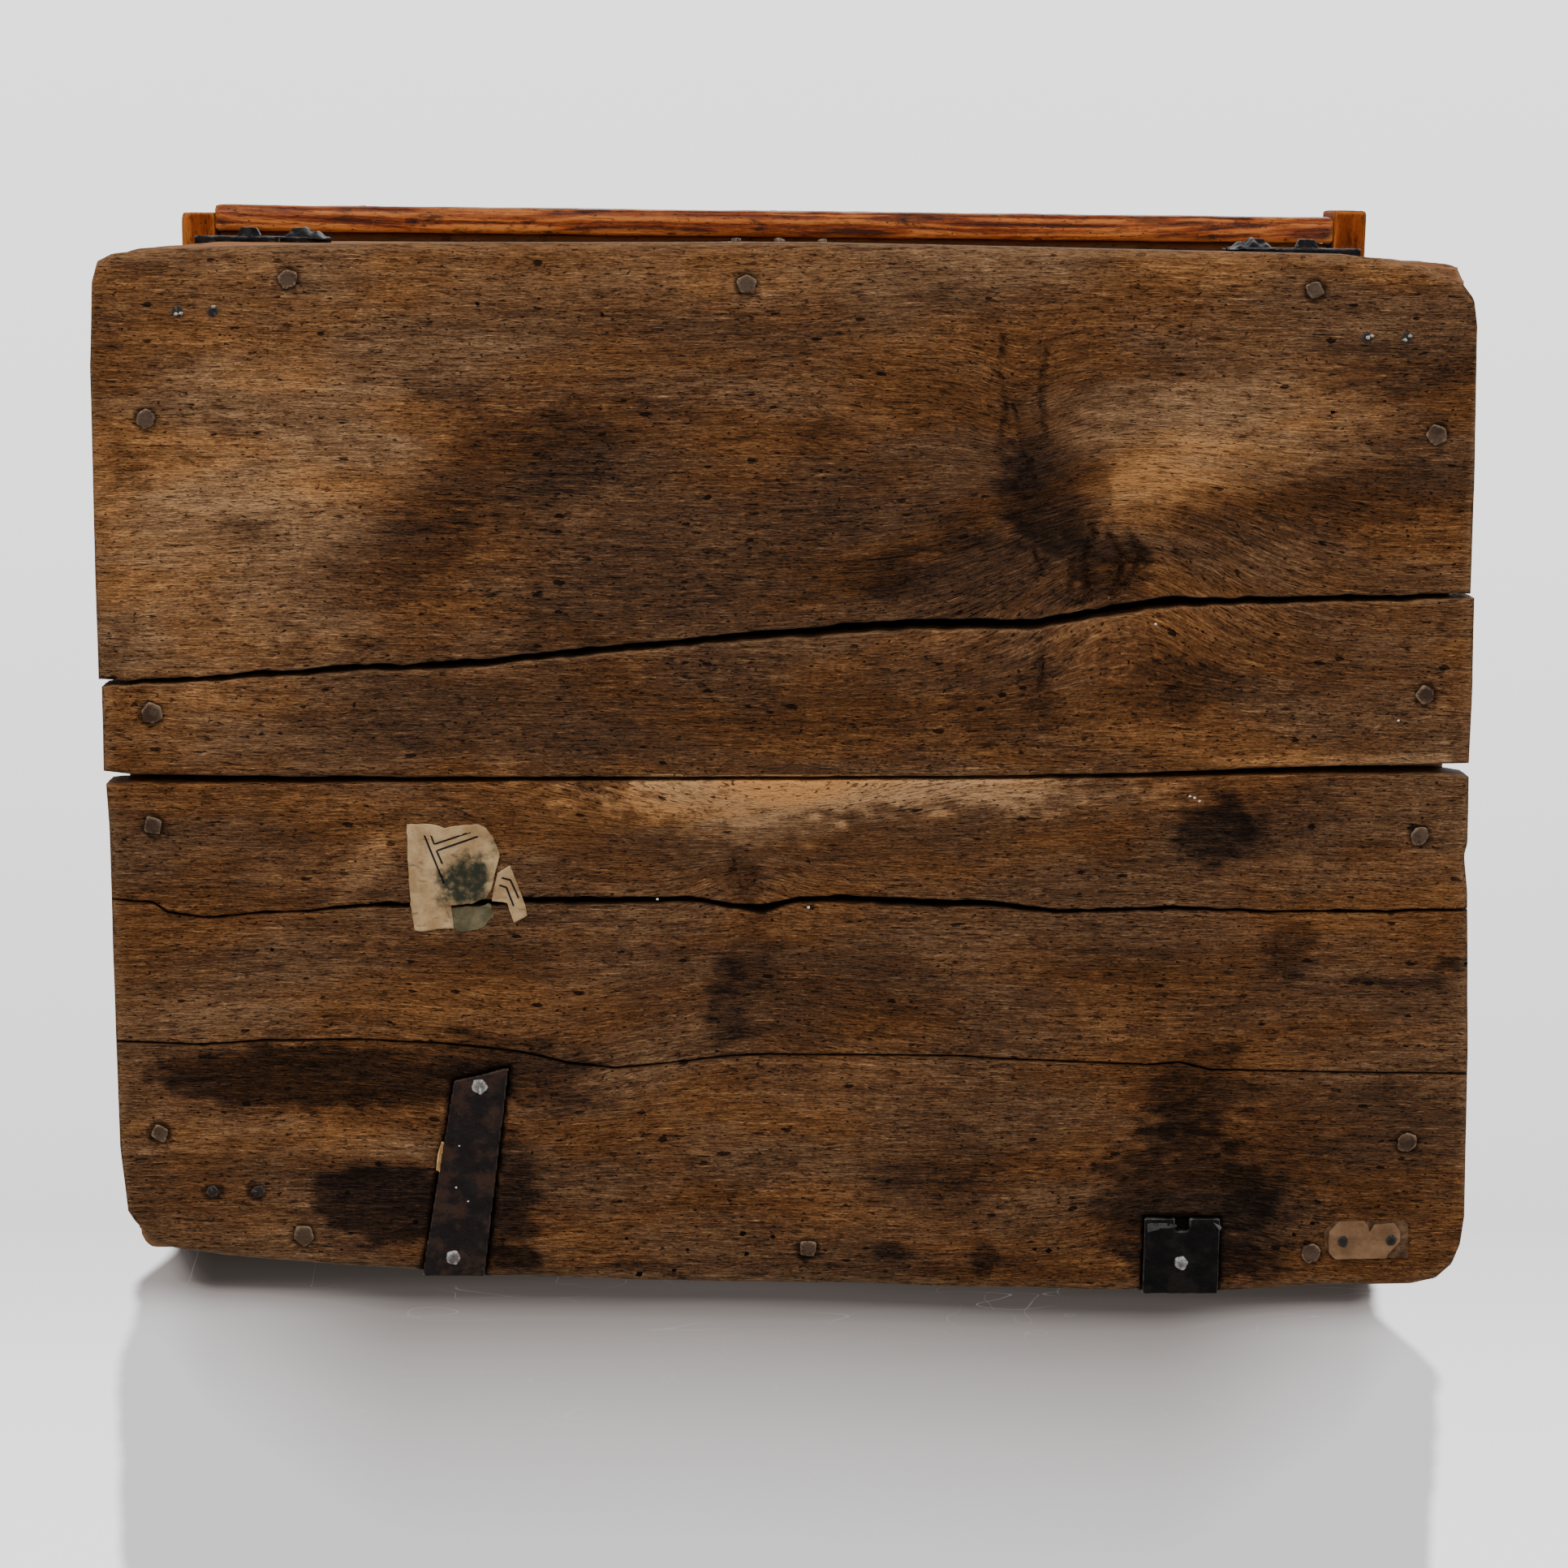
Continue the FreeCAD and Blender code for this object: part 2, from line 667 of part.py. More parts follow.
def lock_plate_nails():
    nail = forged_nail(plate_nail)
    z0 = lock_plate_middle()
    corners = plate_corners(lock_plate_width, lock_plate_height, lock_plate_nail_inset)
    return [driven(nail, V(x, plate_face + plate_nail[1], z0 + z), V(0, -1, 0)) for x, z in corners]


def bolt_start():
    """The left end of the bolt when it is drawn back, clear of the staple."""
    return guide_spacing / 2 + guide_length - bolt_length


def lock_bolt():
    x0 = bolt_start()
    low = bolt_z - bolt_height / 2
    bar = block(x0, x0 + bolt_length, bolt_y, bolt_y + bolt_thickness, low, low + bolt_height)
    talon = block(-talon_width / 2 - bolt_throw / 2, talon_width / 2 - bolt_throw / 2, bolt_y,
                  bolt_y + bolt_thickness, low, low + talon_depth)
    return bar.cut(talon)


def bolt_guides():
    """Two blocks on the lock plate with a window each that the bolt slides through."""
    guides = []
    low, high = bolt_z - bolt_height / 2 - bolt_gap, bolt_z + bolt_height / 2 + bolt_gap
    near, far = bolt_y - bolt_gap, bolt_y + bolt_thickness + bolt_gap
    for x in (-guide_spacing / 2, guide_spacing / 2 - guide_length):
        frame = block(x, x + guide_length, plate_face, far + guide_wall, low - guide_wall, high + guide_wall)
        guides.append(frame.cut(block(x, x + guide_length, near, far, low, high)))
    return guides


def lock_bridge():
    """A bent strap over the key's place, its two feet on the lock plate."""
    t, half = bridge_thickness, bridge_span / 2
    low, high = key_z - bridge_height / 2, key_z + bridge_height / 2
    top = plate_face + bridge_depth
    pieces = [block(-half, half, top - t, top, low, high)]
    for side in (-1, 1):
        inner, outer = side * (half - t), side * half
        pieces.append(block(min(inner, outer), max(inner, outer), plate_face, top, low, high))
        tip = side * (half + bridge_foot)
        pieces.append(block(min(outer, tip), max(outer, tip), plate_face, plate_face + t, low, high))
    return pieces[0].fuse(pieces[1:]).removeSplitter()


def lock_key_post():
    base = plate_face + bridge_depth - bridge_thickness
    return Part.makeCylinder(key_post_radius, key_post_length, V(0, base, key_z), V(0, -1, 0))


def lock_spring():
    """A leaf spring from a block on the lock plate down to the top of the bolt."""
    z = bolt_z + bolt_height / 2 + bolt_gap
    x0 = -spring_length / 2
    y0 = bolt_y + (bolt_thickness - spring_width) / 2
    t = spring_thickness
    end = x0 + spring_length
    knee = end - spring_length / 5
    strip = prism([V(x0, y0, z + spring_rise), V(knee, y0, z), V(end, y0, z + t), V(end, y0, z + 2 * t),
                   V(knee, y0, z + t), V(x0, y0, z + spring_rise + t)], V(0, spring_width, 0))
    stand = block(x0 - spring_block, x0, plate_face, y0 + spring_width, z + spring_rise - t, z + spring_rise + 2 * t)
    return strip.fuse(stand).removeSplitter()


def staple_start():
    """The near face of the staple, past the end of the bolt drawn back."""
    return bolt_start() + bolt_length + staple_gap


def lock_staple():
    """The plate that hangs from the lid, with an eye for the bolt and a flange to nail it by."""
    x0 = staple_start()
    x1 = x0 + staple_thickness
    eye_near, eye_far = bolt_y - staple_eye_gap, bolt_y + bolt_thickness + staple_eye_gap
    eye_low = bolt_z - bolt_height / 2 - staple_eye_gap
    eye_high = bolt_z + bolt_height / 2 + staple_eye_gap
    tongue = block(x0, x1, eye_near - staple_rim, eye_far + staple_rim, eye_low - staple_rim, lid_low)
    tongue = tongue.cut(block(x0, x1, eye_near, eye_far, eye_low, eye_high))
    middle = (x0 + x1) / 2
    flange = block(middle - staple_flange_length / 2, middle + staple_flange_length / 2,
                   eye_near - staple_rim, eye_far + staple_rim, lid_low - staple_flange_thickness, lid_low)
    return tongue.fuse(flange).removeSplitter()


def lock_staple_nails():
    nail = forged_nail(plate_nail)
    middle = staple_start() + staple_thickness / 2
    reach = staple_flange_length / 2 - staple_nail_inset
    z = lid_low - staple_flange_thickness - plate_nail[1]
    y = bolt_y + bolt_thickness / 2
    return [driven(nail, V(middle + s * reach, y, z), V(0, 0, 1)) for s in (-1, 1)]


def slot_prism(z0, z1):
    """The coin slot with round ends, from z0 to z1."""
    half = (slot_length - slot_width) / 2
    slot = block(-half, half, -slot_width / 2, slot_width / 2, z0, z1)
    ends = [Part.makeCylinder(slot_width / 2, z1 - z0, V(s * half, 0, z0)) for s in (-1, 1)]
    return slot.fuse(ends).removeSplitter()


def slot_plate():
    plate = block(-slot_plate_length / 2, slot_plate_length / 2, -slot_plate_width / 2, slot_plate_width / 2,
                  lid_top, lid_top + plate_thickness)
    ends = [e for e in plate.Edges if abs(e.Length - plate_thickness) < 0.001]
    return plate.makeChamfer(slot_plate_corner, ends).cut(slot_prism(lid_top, lid_top + plate_thickness))


def slot_plate_nails():
    nail = forged_nail(plate_nail)
    top = lid_top + plate_thickness + plate_nail[1]
    inset = slot_nail_inset + slot_plate_corner / 2
    corners = plate_corners(slot_plate_length, slot_plate_width, inset)
    return [driven(nail, V(x, y, top), V(0, 0, -1)) for x, y in corners]


def lid_board():
    board = block(-lid_half, lid_half, lid_front, half_depth, lid_low, lid_top)
    reliefs = []
    for x, width in ((hinge_left_x, left_strap_width), (hinge_right_x, right_strap_width)):
        reliefs.append(Part.makeCylinder(knuckle_radius + knuckle_gap, width + 2 * knuckle_gap,
                                         V(x - width / 2 - knuckle_gap, axis_y, axis_z), V(1, 0, 0)))
    return board.cut(reliefs + [slot_prism(lid_low, lid_top)])


def wall_reliefs():
    """Room for the knuckles in the top edge of the back wall."""
    reliefs = []
    for x, width in ((hinge_left_x, left_strap_width), (hinge_right_x, right_strap_width)):
        outer_left, middle, outer_right = hinge_spans(width)
        span = middle[1] - middle[0] + 2 * knuckle_gap
        reliefs.append(Part.makeCylinder(knuckle_radius + knuckle_gap, span,
                                         V(x + middle[0] - knuckle_gap, axis_y, axis_z), V(1, 0, 0)))
    return reliefs


def lid_front_strip():
    strip = block(-lid_half, lid_half, strip_front, lid_front, lip_low, lid_top)
    edges = long_edges(strip, "x", [(strip_front, lip_low), (strip_front, lid_top)])
    return strip.makeFillet(strip_round, edges)


def lid_batten(side):
    """The batten on the left (-1) or right (+1) side of the lid."""
    inner, outer = side * lid_half, side * (lid_half + batten_thickness)
    front = strip_front + left_batten_setback if side < 0 else strip_front - right_batten_proud
    batten = block(min(inner, outer), max(inner, outer), front, half_depth, lip_low, lid_top)
    return batten.makeFillet(batten_round, long_edges(batten, "y", [(outer, lip_low), (outer, lid_top)]))


def lid_nails():
    nail = flush_nail(lid_nail)
    z = (lid_low + lid_top) / 2
    nails = [driven(nail, V(x, strip_front + flush_depth, z), V(0, 1, 0))
             for x in (-strip_nail_spread, 0, strip_nail_spread)]
    out = lid_half + batten_thickness - flush_depth
    for side in (-1, 1):
        for y in (-batten_nail_spread, 0, batten_nail_spread):
            nails.append(driven(nail, V(side * out, y, z), V(-side, 0, 0)))
    return nails


def build():
    """Every node's shape, with the holes that its nails need."""
    under, corners, tacks = bottom_nails(), wall_nails(), pad_tacks()
    straps, irons, leaves = hinge_strap_nails(), corner_iron_nails(), hinge_leaf_nails()
    key_nails, lock_nails, staple_nails = escutcheon_nails(), lock_plate_nails(), lock_staple_nails()
    slot_nails, edge_nails = slot_plate_nails(), lid_nails()
    key_way = keyhole(-half_depth, inner_front)
    left_x = (hinge_left_x, left_strap_width)
    right_x = (hinge_right_x, right_strap_width)
    return {
        "bottom_board_front": bottom_board_front().cut(under + tacks),
        "bottom_board_middle": bottom_board_middle().cut(under),
        "bottom_board_back": bottom_board_back().cut(under + tacks + straps + strap_recesses()),
        "front_wall": long_wall(-1).cut(under + corners + irons + key_nails + lock_nails + [key_way]),
        "back_wall": long_wall(1).cut(under + corners + straps + wall_reliefs()),
        "left_wall": side_wall(-1).cut(under + corners + irons),
        "right_wall": side_wall(1).cut(under + corners + irons),
        "bottom_nails": Part.makeCompound(under),
        "wall_nails": Part.makeCompound(corners),
        "foot_pad": foot_pad().cut(tacks),
        "pad_tacks": Part.makeCompound(tacks),
        "hinge_strap_left": hinge_strap_left().cut(straps),
        "hinge_strap_right": hinge_strap_right().cut(straps),
        "hinge_pin_left": hinge_pin(*left_x),
        "hinge_pin_right": hinge_pin(*right_x),
        "hinge_strap_nails": Part.makeCompound(straps),
        "corner_iron_left": corner_iron(-1).cut(irons),
        "corner_iron_right": corner_iron(1).cut(irons),
        "corner_iron_nails": Part.makeCompound(irons),
        "lock_escutcheon": lock_escutcheon().cut(key_nails),
        "escutcheon_nails": Part.makeCompound(key_nails),
        "lock_plate": lock_plate().cut(lock_nails),
        "lock_plate_nails": Part.makeCompound(lock_nails),
        "bolt_guides": Part.makeCompound(bolt_guides()),
        "lock_bridge": lock_bridge(),
        "lock_key_post": lock_key_post(),
        "lock_spring": lock_spring(),
        "lock_bolt": lock_bolt(),
        "lid_board": lid_board().cut(edge_nails + leaves + slot_nails + staple_nails),
        "lid_front_strip": lid_front_strip().cut(edge_nails),
        "lid_left_batten": lid_batten(-1).cut(edge_nails),
        "lid_right_batten": lid_batten(1).cut(edge_nails),
        "lid_nails": Part.makeCompound(edge_nails),
        "hinge_leaf_left": hinge_leaf(*left_x).cut(leaves),
        "hinge_leaf_right": hinge_leaf(*right_x).cut(leaves),
        "hinge_leaf_nails": Part.makeCompound(leaves),
        "slot_plate": slot_plate().cut(slot_nails),
        "slot_plate_nails": Part.makeCompound(slot_nails),
        "lock_staple": lock_staple().cut(staple_nails),
        "lock_staple_nails": Part.makeCompound(staple_nails),
    }


os.makedirs("parts", exist_ok=True)
for node, shape in build().items():
    shape.translate(V(0, row_shift, 0))
    shape.exportStep("parts/" + node + ".step")
    print(node, len(shape.Solids), round(shape.Volume, 1), shape.isValid())
print("hinge axis y, z:", axis_y + row_shift, axis_z)
print("row shift:", row_shift)
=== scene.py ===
"""Looks of an old pine donation box: worn raw underside, varnished lid and forged ironwork."""

import logging
import math
from dataclasses import dataclass
from enum import Enum
from functools import cache, reduce
from typing import Iterable, Sequence

import bmesh
import bpy
import numpy as np
from mathutils import Matrix, Vector
from mathutils.geometry import convex_hull_2d


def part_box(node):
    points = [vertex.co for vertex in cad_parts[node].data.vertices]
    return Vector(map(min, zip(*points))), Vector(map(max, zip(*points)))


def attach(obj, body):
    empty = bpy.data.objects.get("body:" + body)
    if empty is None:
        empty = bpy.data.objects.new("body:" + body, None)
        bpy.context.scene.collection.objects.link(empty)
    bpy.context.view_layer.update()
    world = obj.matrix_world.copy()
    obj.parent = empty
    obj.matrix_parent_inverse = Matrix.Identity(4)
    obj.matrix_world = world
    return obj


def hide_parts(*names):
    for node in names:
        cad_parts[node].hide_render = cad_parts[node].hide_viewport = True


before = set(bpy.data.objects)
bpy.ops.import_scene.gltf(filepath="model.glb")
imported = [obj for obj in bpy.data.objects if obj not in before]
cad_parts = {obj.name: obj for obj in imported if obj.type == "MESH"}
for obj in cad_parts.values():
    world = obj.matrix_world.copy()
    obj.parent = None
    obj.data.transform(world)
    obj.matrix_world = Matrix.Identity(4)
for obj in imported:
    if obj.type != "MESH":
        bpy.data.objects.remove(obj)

MM = 0.001
FAR_OFF = 9.0
NOISE_SEED = 11
FLOOR_GAP = 1.7 * MM
Array = np.ndarray
Colour = tuple[float, float, float, float]
Pair = tuple[float, float]
Pixel = tuple[float, float]
Line = tuple[Pair, ...]
Shares = tuple[tuple[str, float], ...]
Stops = tuple[tuple[float, Colour], ...]
Material = bpy.types.Material
Node = bpy.types.Node
Piece = bpy.types.Object
Socket = bpy.types.NodeSocket
Tree = bpy.types.NodeTree
Paints = dict[str, Material]
Parts = dict[str, Socket]
Triple = tuple[float, float, float]
Opening = tuple[Triple, ...]
log = logging.getLogger("donation_box")


class Body(Enum):
    """Bodies that a made piece can ride on."""

    BOX = "box"
    LID = "lid"


class Grain(Enum):
    """Direction in which the wood of a piece grew, as the turn that lays it along X."""

    ALONG_X = (0.0, 0.0, 0.0)
    ALONG_Y = (0.0, 0.0, math.pi / 2)


def paint(red: int, green: int, blue: int) -> Colour:
    """Turns a screen colour, 0 to 255 a part, into the linear one that shaders take."""
    shares = [part / 255 for part in (red, green, blue)]
    return (*(s / 12.92 if s <= 0.04045 else ((s + 0.055) / 1.055) ** 2.4 for s in shares), 1.0)


def ease(start: float, stop: float, values: Array) -> Array:
    """Smooth step from 0 at start to 1 at stop; start may be the larger."""
    share = np.clip((values - start) / (stop - start), 0.0, 1.0)
    return share * share * (3.0 - 2.0 * share)


def placed(name: str, data: bpy.types.ID) -> Piece:
    """Adds an object to the scene.

    Args:
        name: Name of the object.
        data: Mesh, light or camera that it holds.

    Returns:
        The object.
    """
    made = bpy.data.objects.new(name, data)
    bpy.context.scene.collection.objects.link(made)
    return made


class Noise:
    """Smooth noise on a seeded lattice, the same on every run."""

    SIDE = 256
    LAYERS_APART = (17.3, 31.7)

    def __init__(self, seed: int) -> None:
        """Fills the lattice from a seed."""
        self.lattice = np.random.default_rng(seed).uniform(-1.0, 1.0, (self.SIDE, self.SIDE))

    def at(self, x: Array, y: Array) -> Array:
        """Reads the noise.

        Args:
            x: First coordinate, in lattice steps.
            y: Second coordinate, in lattice steps.

        Returns:
            Numbers from -1 to 1.
        """
        column = np.floor(x).astype(int)
        row = np.floor(y).astype(int)
        across = ease(0.0, 1.0, x - column)
        down = ease(0.0, 1.0, y - row)
        left, right = column % self.SIDE, (column + 1) % self.SIDE
        near, far = row % self.SIDE, (row + 1) % self.SIDE
        top = self.lattice[near, left] * (1 - across) + self.lattice[near, right] * across
        low = self.lattice[far, left] * (1 - across) + self.lattice[far, right] * across
        return top * (1 - down) + low * down

    def layered(self, x: Array, y: Array, octaves: int) -> Array:
        """Adds finer and weaker layers of the noise.

        Args:
            x: First coordinate, in steps of the coarsest layer.
            y: Second coordinate, in steps of the coarsest layer.
            octaves: How many layers.

        Returns:
            Numbers from about -1 to 1.
        """
        total = np.zeros_like(np.asarray(x, float))
        aside, down = self.LAYERS_APART
        for layer in range(octaves):
            finer = 2.0**layer
            total += self.at(x * finer + aside * layer, y * finer + down * layer) / finer
        return total / (2.0 - 2.0 ** (1 - octaves))


@dataclass(frozen=True)
class Ripple:
    """Layered noise over a surface: its strength, its lengths both ways and its layers."""

    strength: float
    across: float
    down: float
    layers: int
    shift: float = 0.0

    def at(self, noise: Noise, x: Array, y: Array) -> Array:
        """Reads the ripple at points, in the units of its lengths."""
        return self.strength * noise.layered(x / self.across + self.shift, y / self.down, self.layers)


@dataclass(frozen=True)
class PhotoView:
    """Camera of the photograph, and the ways between its pixels and the underside.

    The box lies on its back, so the camera looks along +Z at the underside, and the front of the
    box is the upper side of the picture.
    """

    size_px: float = 1932.0
    focal_px: float = 4200.0
    vanish_u: float = 850.0
    vanish_v: float = 245.0
    distance: float = 0.9978
    foot_x: float = -0.03118
    foot_y: float = -0.16534
    roll: float = math.radians(0.4)
    sensor_mm: float = 36.0
    nearest: float = 0.01
    farthest: float = 50.0

    def axes(self) -> Array:
        """Finds how the camera stands to the underside.

        Returns:
            Rows that turn a camera direction (right, up, ahead) into one along the underside.
        """
        middle = self.size_px / 2
        side = (self.vanish_u - middle) / self.focal_px
        rise = (middle - self.vanish_v) / self.focal_px
        depth = np.array([side, rise, 1.0]) / math.hypot(side, rise, 1.0)
        across = np.array([depth[2], 0.0, -depth[0]]) / math.hypot(depth[0], depth[2])
        return np.stack([across, np.cross(depth, across), depth])

    def turned(self, across: Array, up: Array) -> tuple[Array, Array]:
        """Turns a step to the right and upwards in the picture into X and Y, and back again."""
        cos, sin = math.cos(self.roll), math.sin(self.roll)
        return across * cos - up * sin, -across * sin - up * cos

    def place(self, u: Array, v: Array) -> tuple[Array, Array]:
        """Finds what a pixel shows on the underside.

        Args:
            u: Pixels from the left.
            v: Pixels from the top.

        Returns:
            X and Y in metres.
        """
        middle = self.size_px / 2
        right = (np.asarray(u, float) - middle) / self.focal_px
        high = (middle - np.asarray(v, float)) / self.focal_px
        across, up, depth = (row[0] * right + row[1] * high + row[2] for row in self.axes())
        x, y = self.turned(across / depth * self.distance, up / depth * self.distance)
        return x + self.foot_x, y + self.foot_y

    def points(self, pixels: Line) -> Array:
        """Finds points of the underside, a row each, from their pixels."""
        table = np.array(pixels, float)
        return np.stack(self.place(table[:, 0], table[:, 1]), axis=1)

    def pixel(self, x: Array, y: Array) -> tuple[Array, Array]:
        """Finds the pixel of a point of the underside.

        Args:
            x: X in metres.
            y: Y in metres.

        Returns:
            Pixels from the left and from the top.
        """
        across, up = self.turned(x - self.foot_x, y - self.foot_y)
        ways = zip(*self.axes())
        right, high, ahead = (across * a + up * b + self.distance * c for a, b, c in ways)
        middle = self.size_px / 2
        return middle + self.focal_px * right / ahead, middle - self.focal_px * high / ahead

    def camera(self) -> None:
        """Makes the camera where the photograph was taken from."""
        ways = []
        for across, up, depth in zip(*self.axes()):
            ways.append(Vector((*self.turned(across, up), depth)))
        matrix = Matrix((ways[0], ways[1], -ways[2])).transposed().to_4x4()
        matrix.translation = (self.foot_x, self.foot_y, -self.distance)
        data = bpy.data.cameras.new("photo_camera")
        data.sensor_width = self.sensor_mm
        data.lens = self.sensor_mm * self.focal_px / self.size_px
        data.clip_start = self.nearest
        data.clip_end = self.farthest
        made = placed("photo_camera", data)
        made.matrix_world = matrix
        bpy.context.scene.camera = made


class Graph:
    """Short way to write down a node tree."""

    def __init__(self, tree: Tree) -> None:
        """Starts with an existing tree."""
        self.tree = tree

    def feed(self, socket: Socket, value: object) -> None:
        """Links or sets an input.

        Args:
            socket: Input to feed.
            value: Another node's output, or a plain value.
        """
        if isinstance(value, Socket):
            self.tree.links.new(value, socket)
        else:
            socket.default_value = value

    def fill(self, node: Node, inputs: dict) -> Node:
        """Feeds inputs of a node.

        Args:
            node: The node.
            inputs: Values or sockets by input.

        Returns:
            The node.
        """
        for name, value in inputs.items():
            self.feed(node.inputs[name], value)
        return node

    def node(self, kind: str, inputs: dict | None = None, **settings: object) -> Node:
        """Adds a node.

        Args:
            kind: Blender's name of the node type.
            inputs: Values or sockets for its inputs.
            **settings: Properties of the node.

        Returns:
            The new node.
        """
        made = self.tree.nodes.new(kind)
        for name, value in settings.items():
            setattr(made, name, value)
        return self.fill(made, inputs or {})

    def group(self, tree: Tree, inputs: dict) -> Parts:
        """Places a shared effect and gives its outputs by name."""
        return dict(self.node("ShaderNodeGroup", inputs, node_tree=tree).outputs.items())

    def math(self, kind: str, first: object, second: object = 0.0) -> Socket:
        """Works out one of Blender's operations on two values."""
        return self.node("ShaderNodeMath", {0: first, 1: second}, operation=kind).outputs[0]

    def times(self, first: object, second: object) -> Socket:
        """Multiplies two values."""
        return self.math("MULTIPLY", first, second)

    def plus(self, first: object, second: object) -> Socket:
        """Adds two values."""
        return self.math("ADD", first, second)

    def minus(self, first: object, second: object) -> Socket:
        """Takes the second value from the first."""
        return self.math("SUBTRACT", first, second)

    def swing(self, value: object, width: float) -> Socket:
        """Turns a value from 0 to 1 into one that swings about zero, by the width in all."""
        return self.times(self.minus(value, 0.5), width)

    def total(self, values: Sequence[object]) -> Socket:
        """Adds up values."""
        return reduce(self.plus, values)

    def swings(self, parts: Parts, widths: Shares) -> Socket:
        """Adds up named parts, each swinging about zero by its width."""
        return self.total([self.swing(parts[name], width) for name, width in widths])

    def weighed(self, parts: Parts, shares: Shares) -> Socket:
        """Adds up named parts, each times its share."""
        return self.total([self.times(parts[name], share) for name, share in shares])

    def band(self, value: object, low: float, high: float) -> Socket:
        """Gives a smooth step from 0 at low to 1 at high."""
        inputs = {"Value": value, "From Min": low, "From Max": high}
        return self.node("ShaderNodeMapRange", inputs, interpolation_type="SMOOTHSTEP").outputs["Result"]

    def scaled(self, place: object, factors: object, kind: str = "MULTIPLY") -> Socket:
        """Stretches a place by a factor for each axis, or shifts it where the kind is ADD."""
        return self.node("ShaderNodeVectorMath", {0: place, 1: factors}, operation=kind).outputs[0]

    def noise(
        self, place: object, along: float, beside: float, detail: float, rough: float = 0.55,
    ) -> Socket:
        """Adds noise that is stretched along the grain.

        Args:
            place: Vector socket, in millimetres.
            along: Lattice steps in a millimetre along X.
            beside: Lattice steps in a millimetre along Y and Z.
            detail: Finer layers.
            rough: Strength of the finer layers.

        Returns:
            A value from 0 to 1.
        """
        laid = self.scaled(place, (along, beside, beside))
        inputs = {"Vector": laid, "Scale": 1.0, "Detail": detail, "Roughness": rough}
        return self.node("ShaderNodeTexNoise", inputs).outputs[0]

    def ramp(self, value: object, stops: Stops) -> Socket:
        """Adds a colour ramp.

        Args:
            value: Value or socket.
            stops: Positions and their colours, in order.

        Returns:
            The colour.
        """
        made = self.node("ShaderNodeValToRGB", {0: value})
        points = made.color_ramp.elements
        while len(points) < len(stops):
            points.new(1.0)
        for point, (position, colour) in zip(points, stops):
            point.position = position
            point.color = colour
        return made.outputs["Color"]

    def mix(self, share: object, first: object, second: object, kind: str = "MIX") -> Socket:
        """Mixes two colours, by the share of the second and a blend type."""
        made = self.node("ShaderNodeMix", data_type="RGBA", blend_type=kind)
        return self.fill(made, {0: share, 6: first, 7: second}).outputs[2]

    def here(self, grain: Grain = Grain.ALONG_X) -> Socket:
        """Gives the place on the piece in millimetres, with X along the grain."""
        inputs = {"Vector": self.node("ShaderNodeTexCoord").outputs["Object"], "Scale": (1 / MM,) * 3}
        return self.node("ShaderNodeMapping", inputs | {"Rotation": grain.value}).outputs[0]

    def axis(self, place: object, name: str) -> Socket:
        """Gives one coordinate of a place."""
        return self.node("ShaderNodeSeparateXYZ", {0: place}).outputs[name]

    def value(self, name: str) -> Socket:
        """Reads a value that the mesh holds by name."""
        return self.node("ShaderNodeAttribute", attribute_name=name).outputs["Fac"]

    def ridge(self) -> Socket:
        """Tells edges, above a half, from hollows."""
        return self.node("ShaderNodeNewGeometry").outputs["Pointiness"]


class GroupGraph(Graph):
    """Node tree of a new shader group that finishes share."""

    def __init__(self, name: str, inputs: Sequence[str], outputs: Sequence[str]) -> None:
        """Starts the group with its sockets.

        Args:
            name: Name of the group.
            inputs: Input names; the first is a place and the others are values.
            outputs: Names of the value outputs.
        """
        super().__init__(bpy.data.node_groups.new(name, "ShaderNodeTree"))
        sockets = self.tree.interface
        for label in inputs:
            kind = "NodeSocketVector" if label == inputs[0] else "NodeSocketFloat"
            sockets.new_socket(label, in_out="INPUT", socket_type=kind)
        for label in outputs:
            sockets.new_socket(label, in_out="OUTPUT", socket_type="NodeSocketFloat")
        self.entry = self.node("NodeGroupInput").outputs
        self.leave = self.node("NodeGroupOutput")


@cache
def pine_grain() -> Tree:
    """Growth bands, fibres, open pores and blotches of old pine.

    Returns:
        The group.
    """
    outputs = ("Figure", "Fibre", "Pores", "Mottle")
    graph = GroupGraph("pine_grain", ("Place", "Band"), outputs)
    place = graph.entry["Place"]
    per_band = graph.math("DIVIDE", 1.0, graph.entry["Band"])
    across = graph.node("ShaderNodeCombineXYZ", {"X": 0.0035, "Y": per_band, "Z": per_band}).outputs[0]
    sway = graph.swing(graph.noise(place, 0.005, 0.012, 2.0), 9.0)
    waved = graph.scaled(graph.scaled(place, across), sway, "ADD")
    bands = graph.noise(waved, 1.0, 1.0, 2.0, 0.5)
    streaks = graph.noise(place, 0.1, 0.9, 3.0, 0.75)
    hairs = graph.noise(place, 0.3, 2.6, 2.0, 0.7)
    dashes = graph.band(graph.noise(place, 0.2, 1.3, 2.0, 0.6), 0.61, 0.67)
    nicks = graph.band(graph.noise(place, 0.5, 1.1, 1.0), 0.68, 0.73)
    spots = {"Vector": graph.scaled(place, (0.16, 0.36, 0.36)), "Scale": 1.0}
    cells = graph.node("ShaderNodeTexVoronoi", spots).outputs
    pick = graph.node("ShaderNodeSeparateColor", {0: cells["Color"]}).outputs[0]
    size = graph.times(graph.math("POWER", pick, 7.0), 0.3)
    frayed = graph.plus(cells["Distance"], graph.swing(hairs, 0.45))
    pits = graph.band(graph.minus(size, frayed), 0.0, 0.06)
    pores = graph.math("MAXIMUM", graph.times(dashes, 0.6), nicks)
    graph.fill(graph.leave, {
        "Figure": graph.band(bands, 0.3, 0.7),
        "Fibre": graph.times(graph.plus(streaks, hairs), 0.5),
        "Pores": graph.math("MAXIMUM", pores, pits),
        "Mottle": graph.noise(place, 0.028, 0.06, 5.0, 0.65),
    })
    return graph.tree


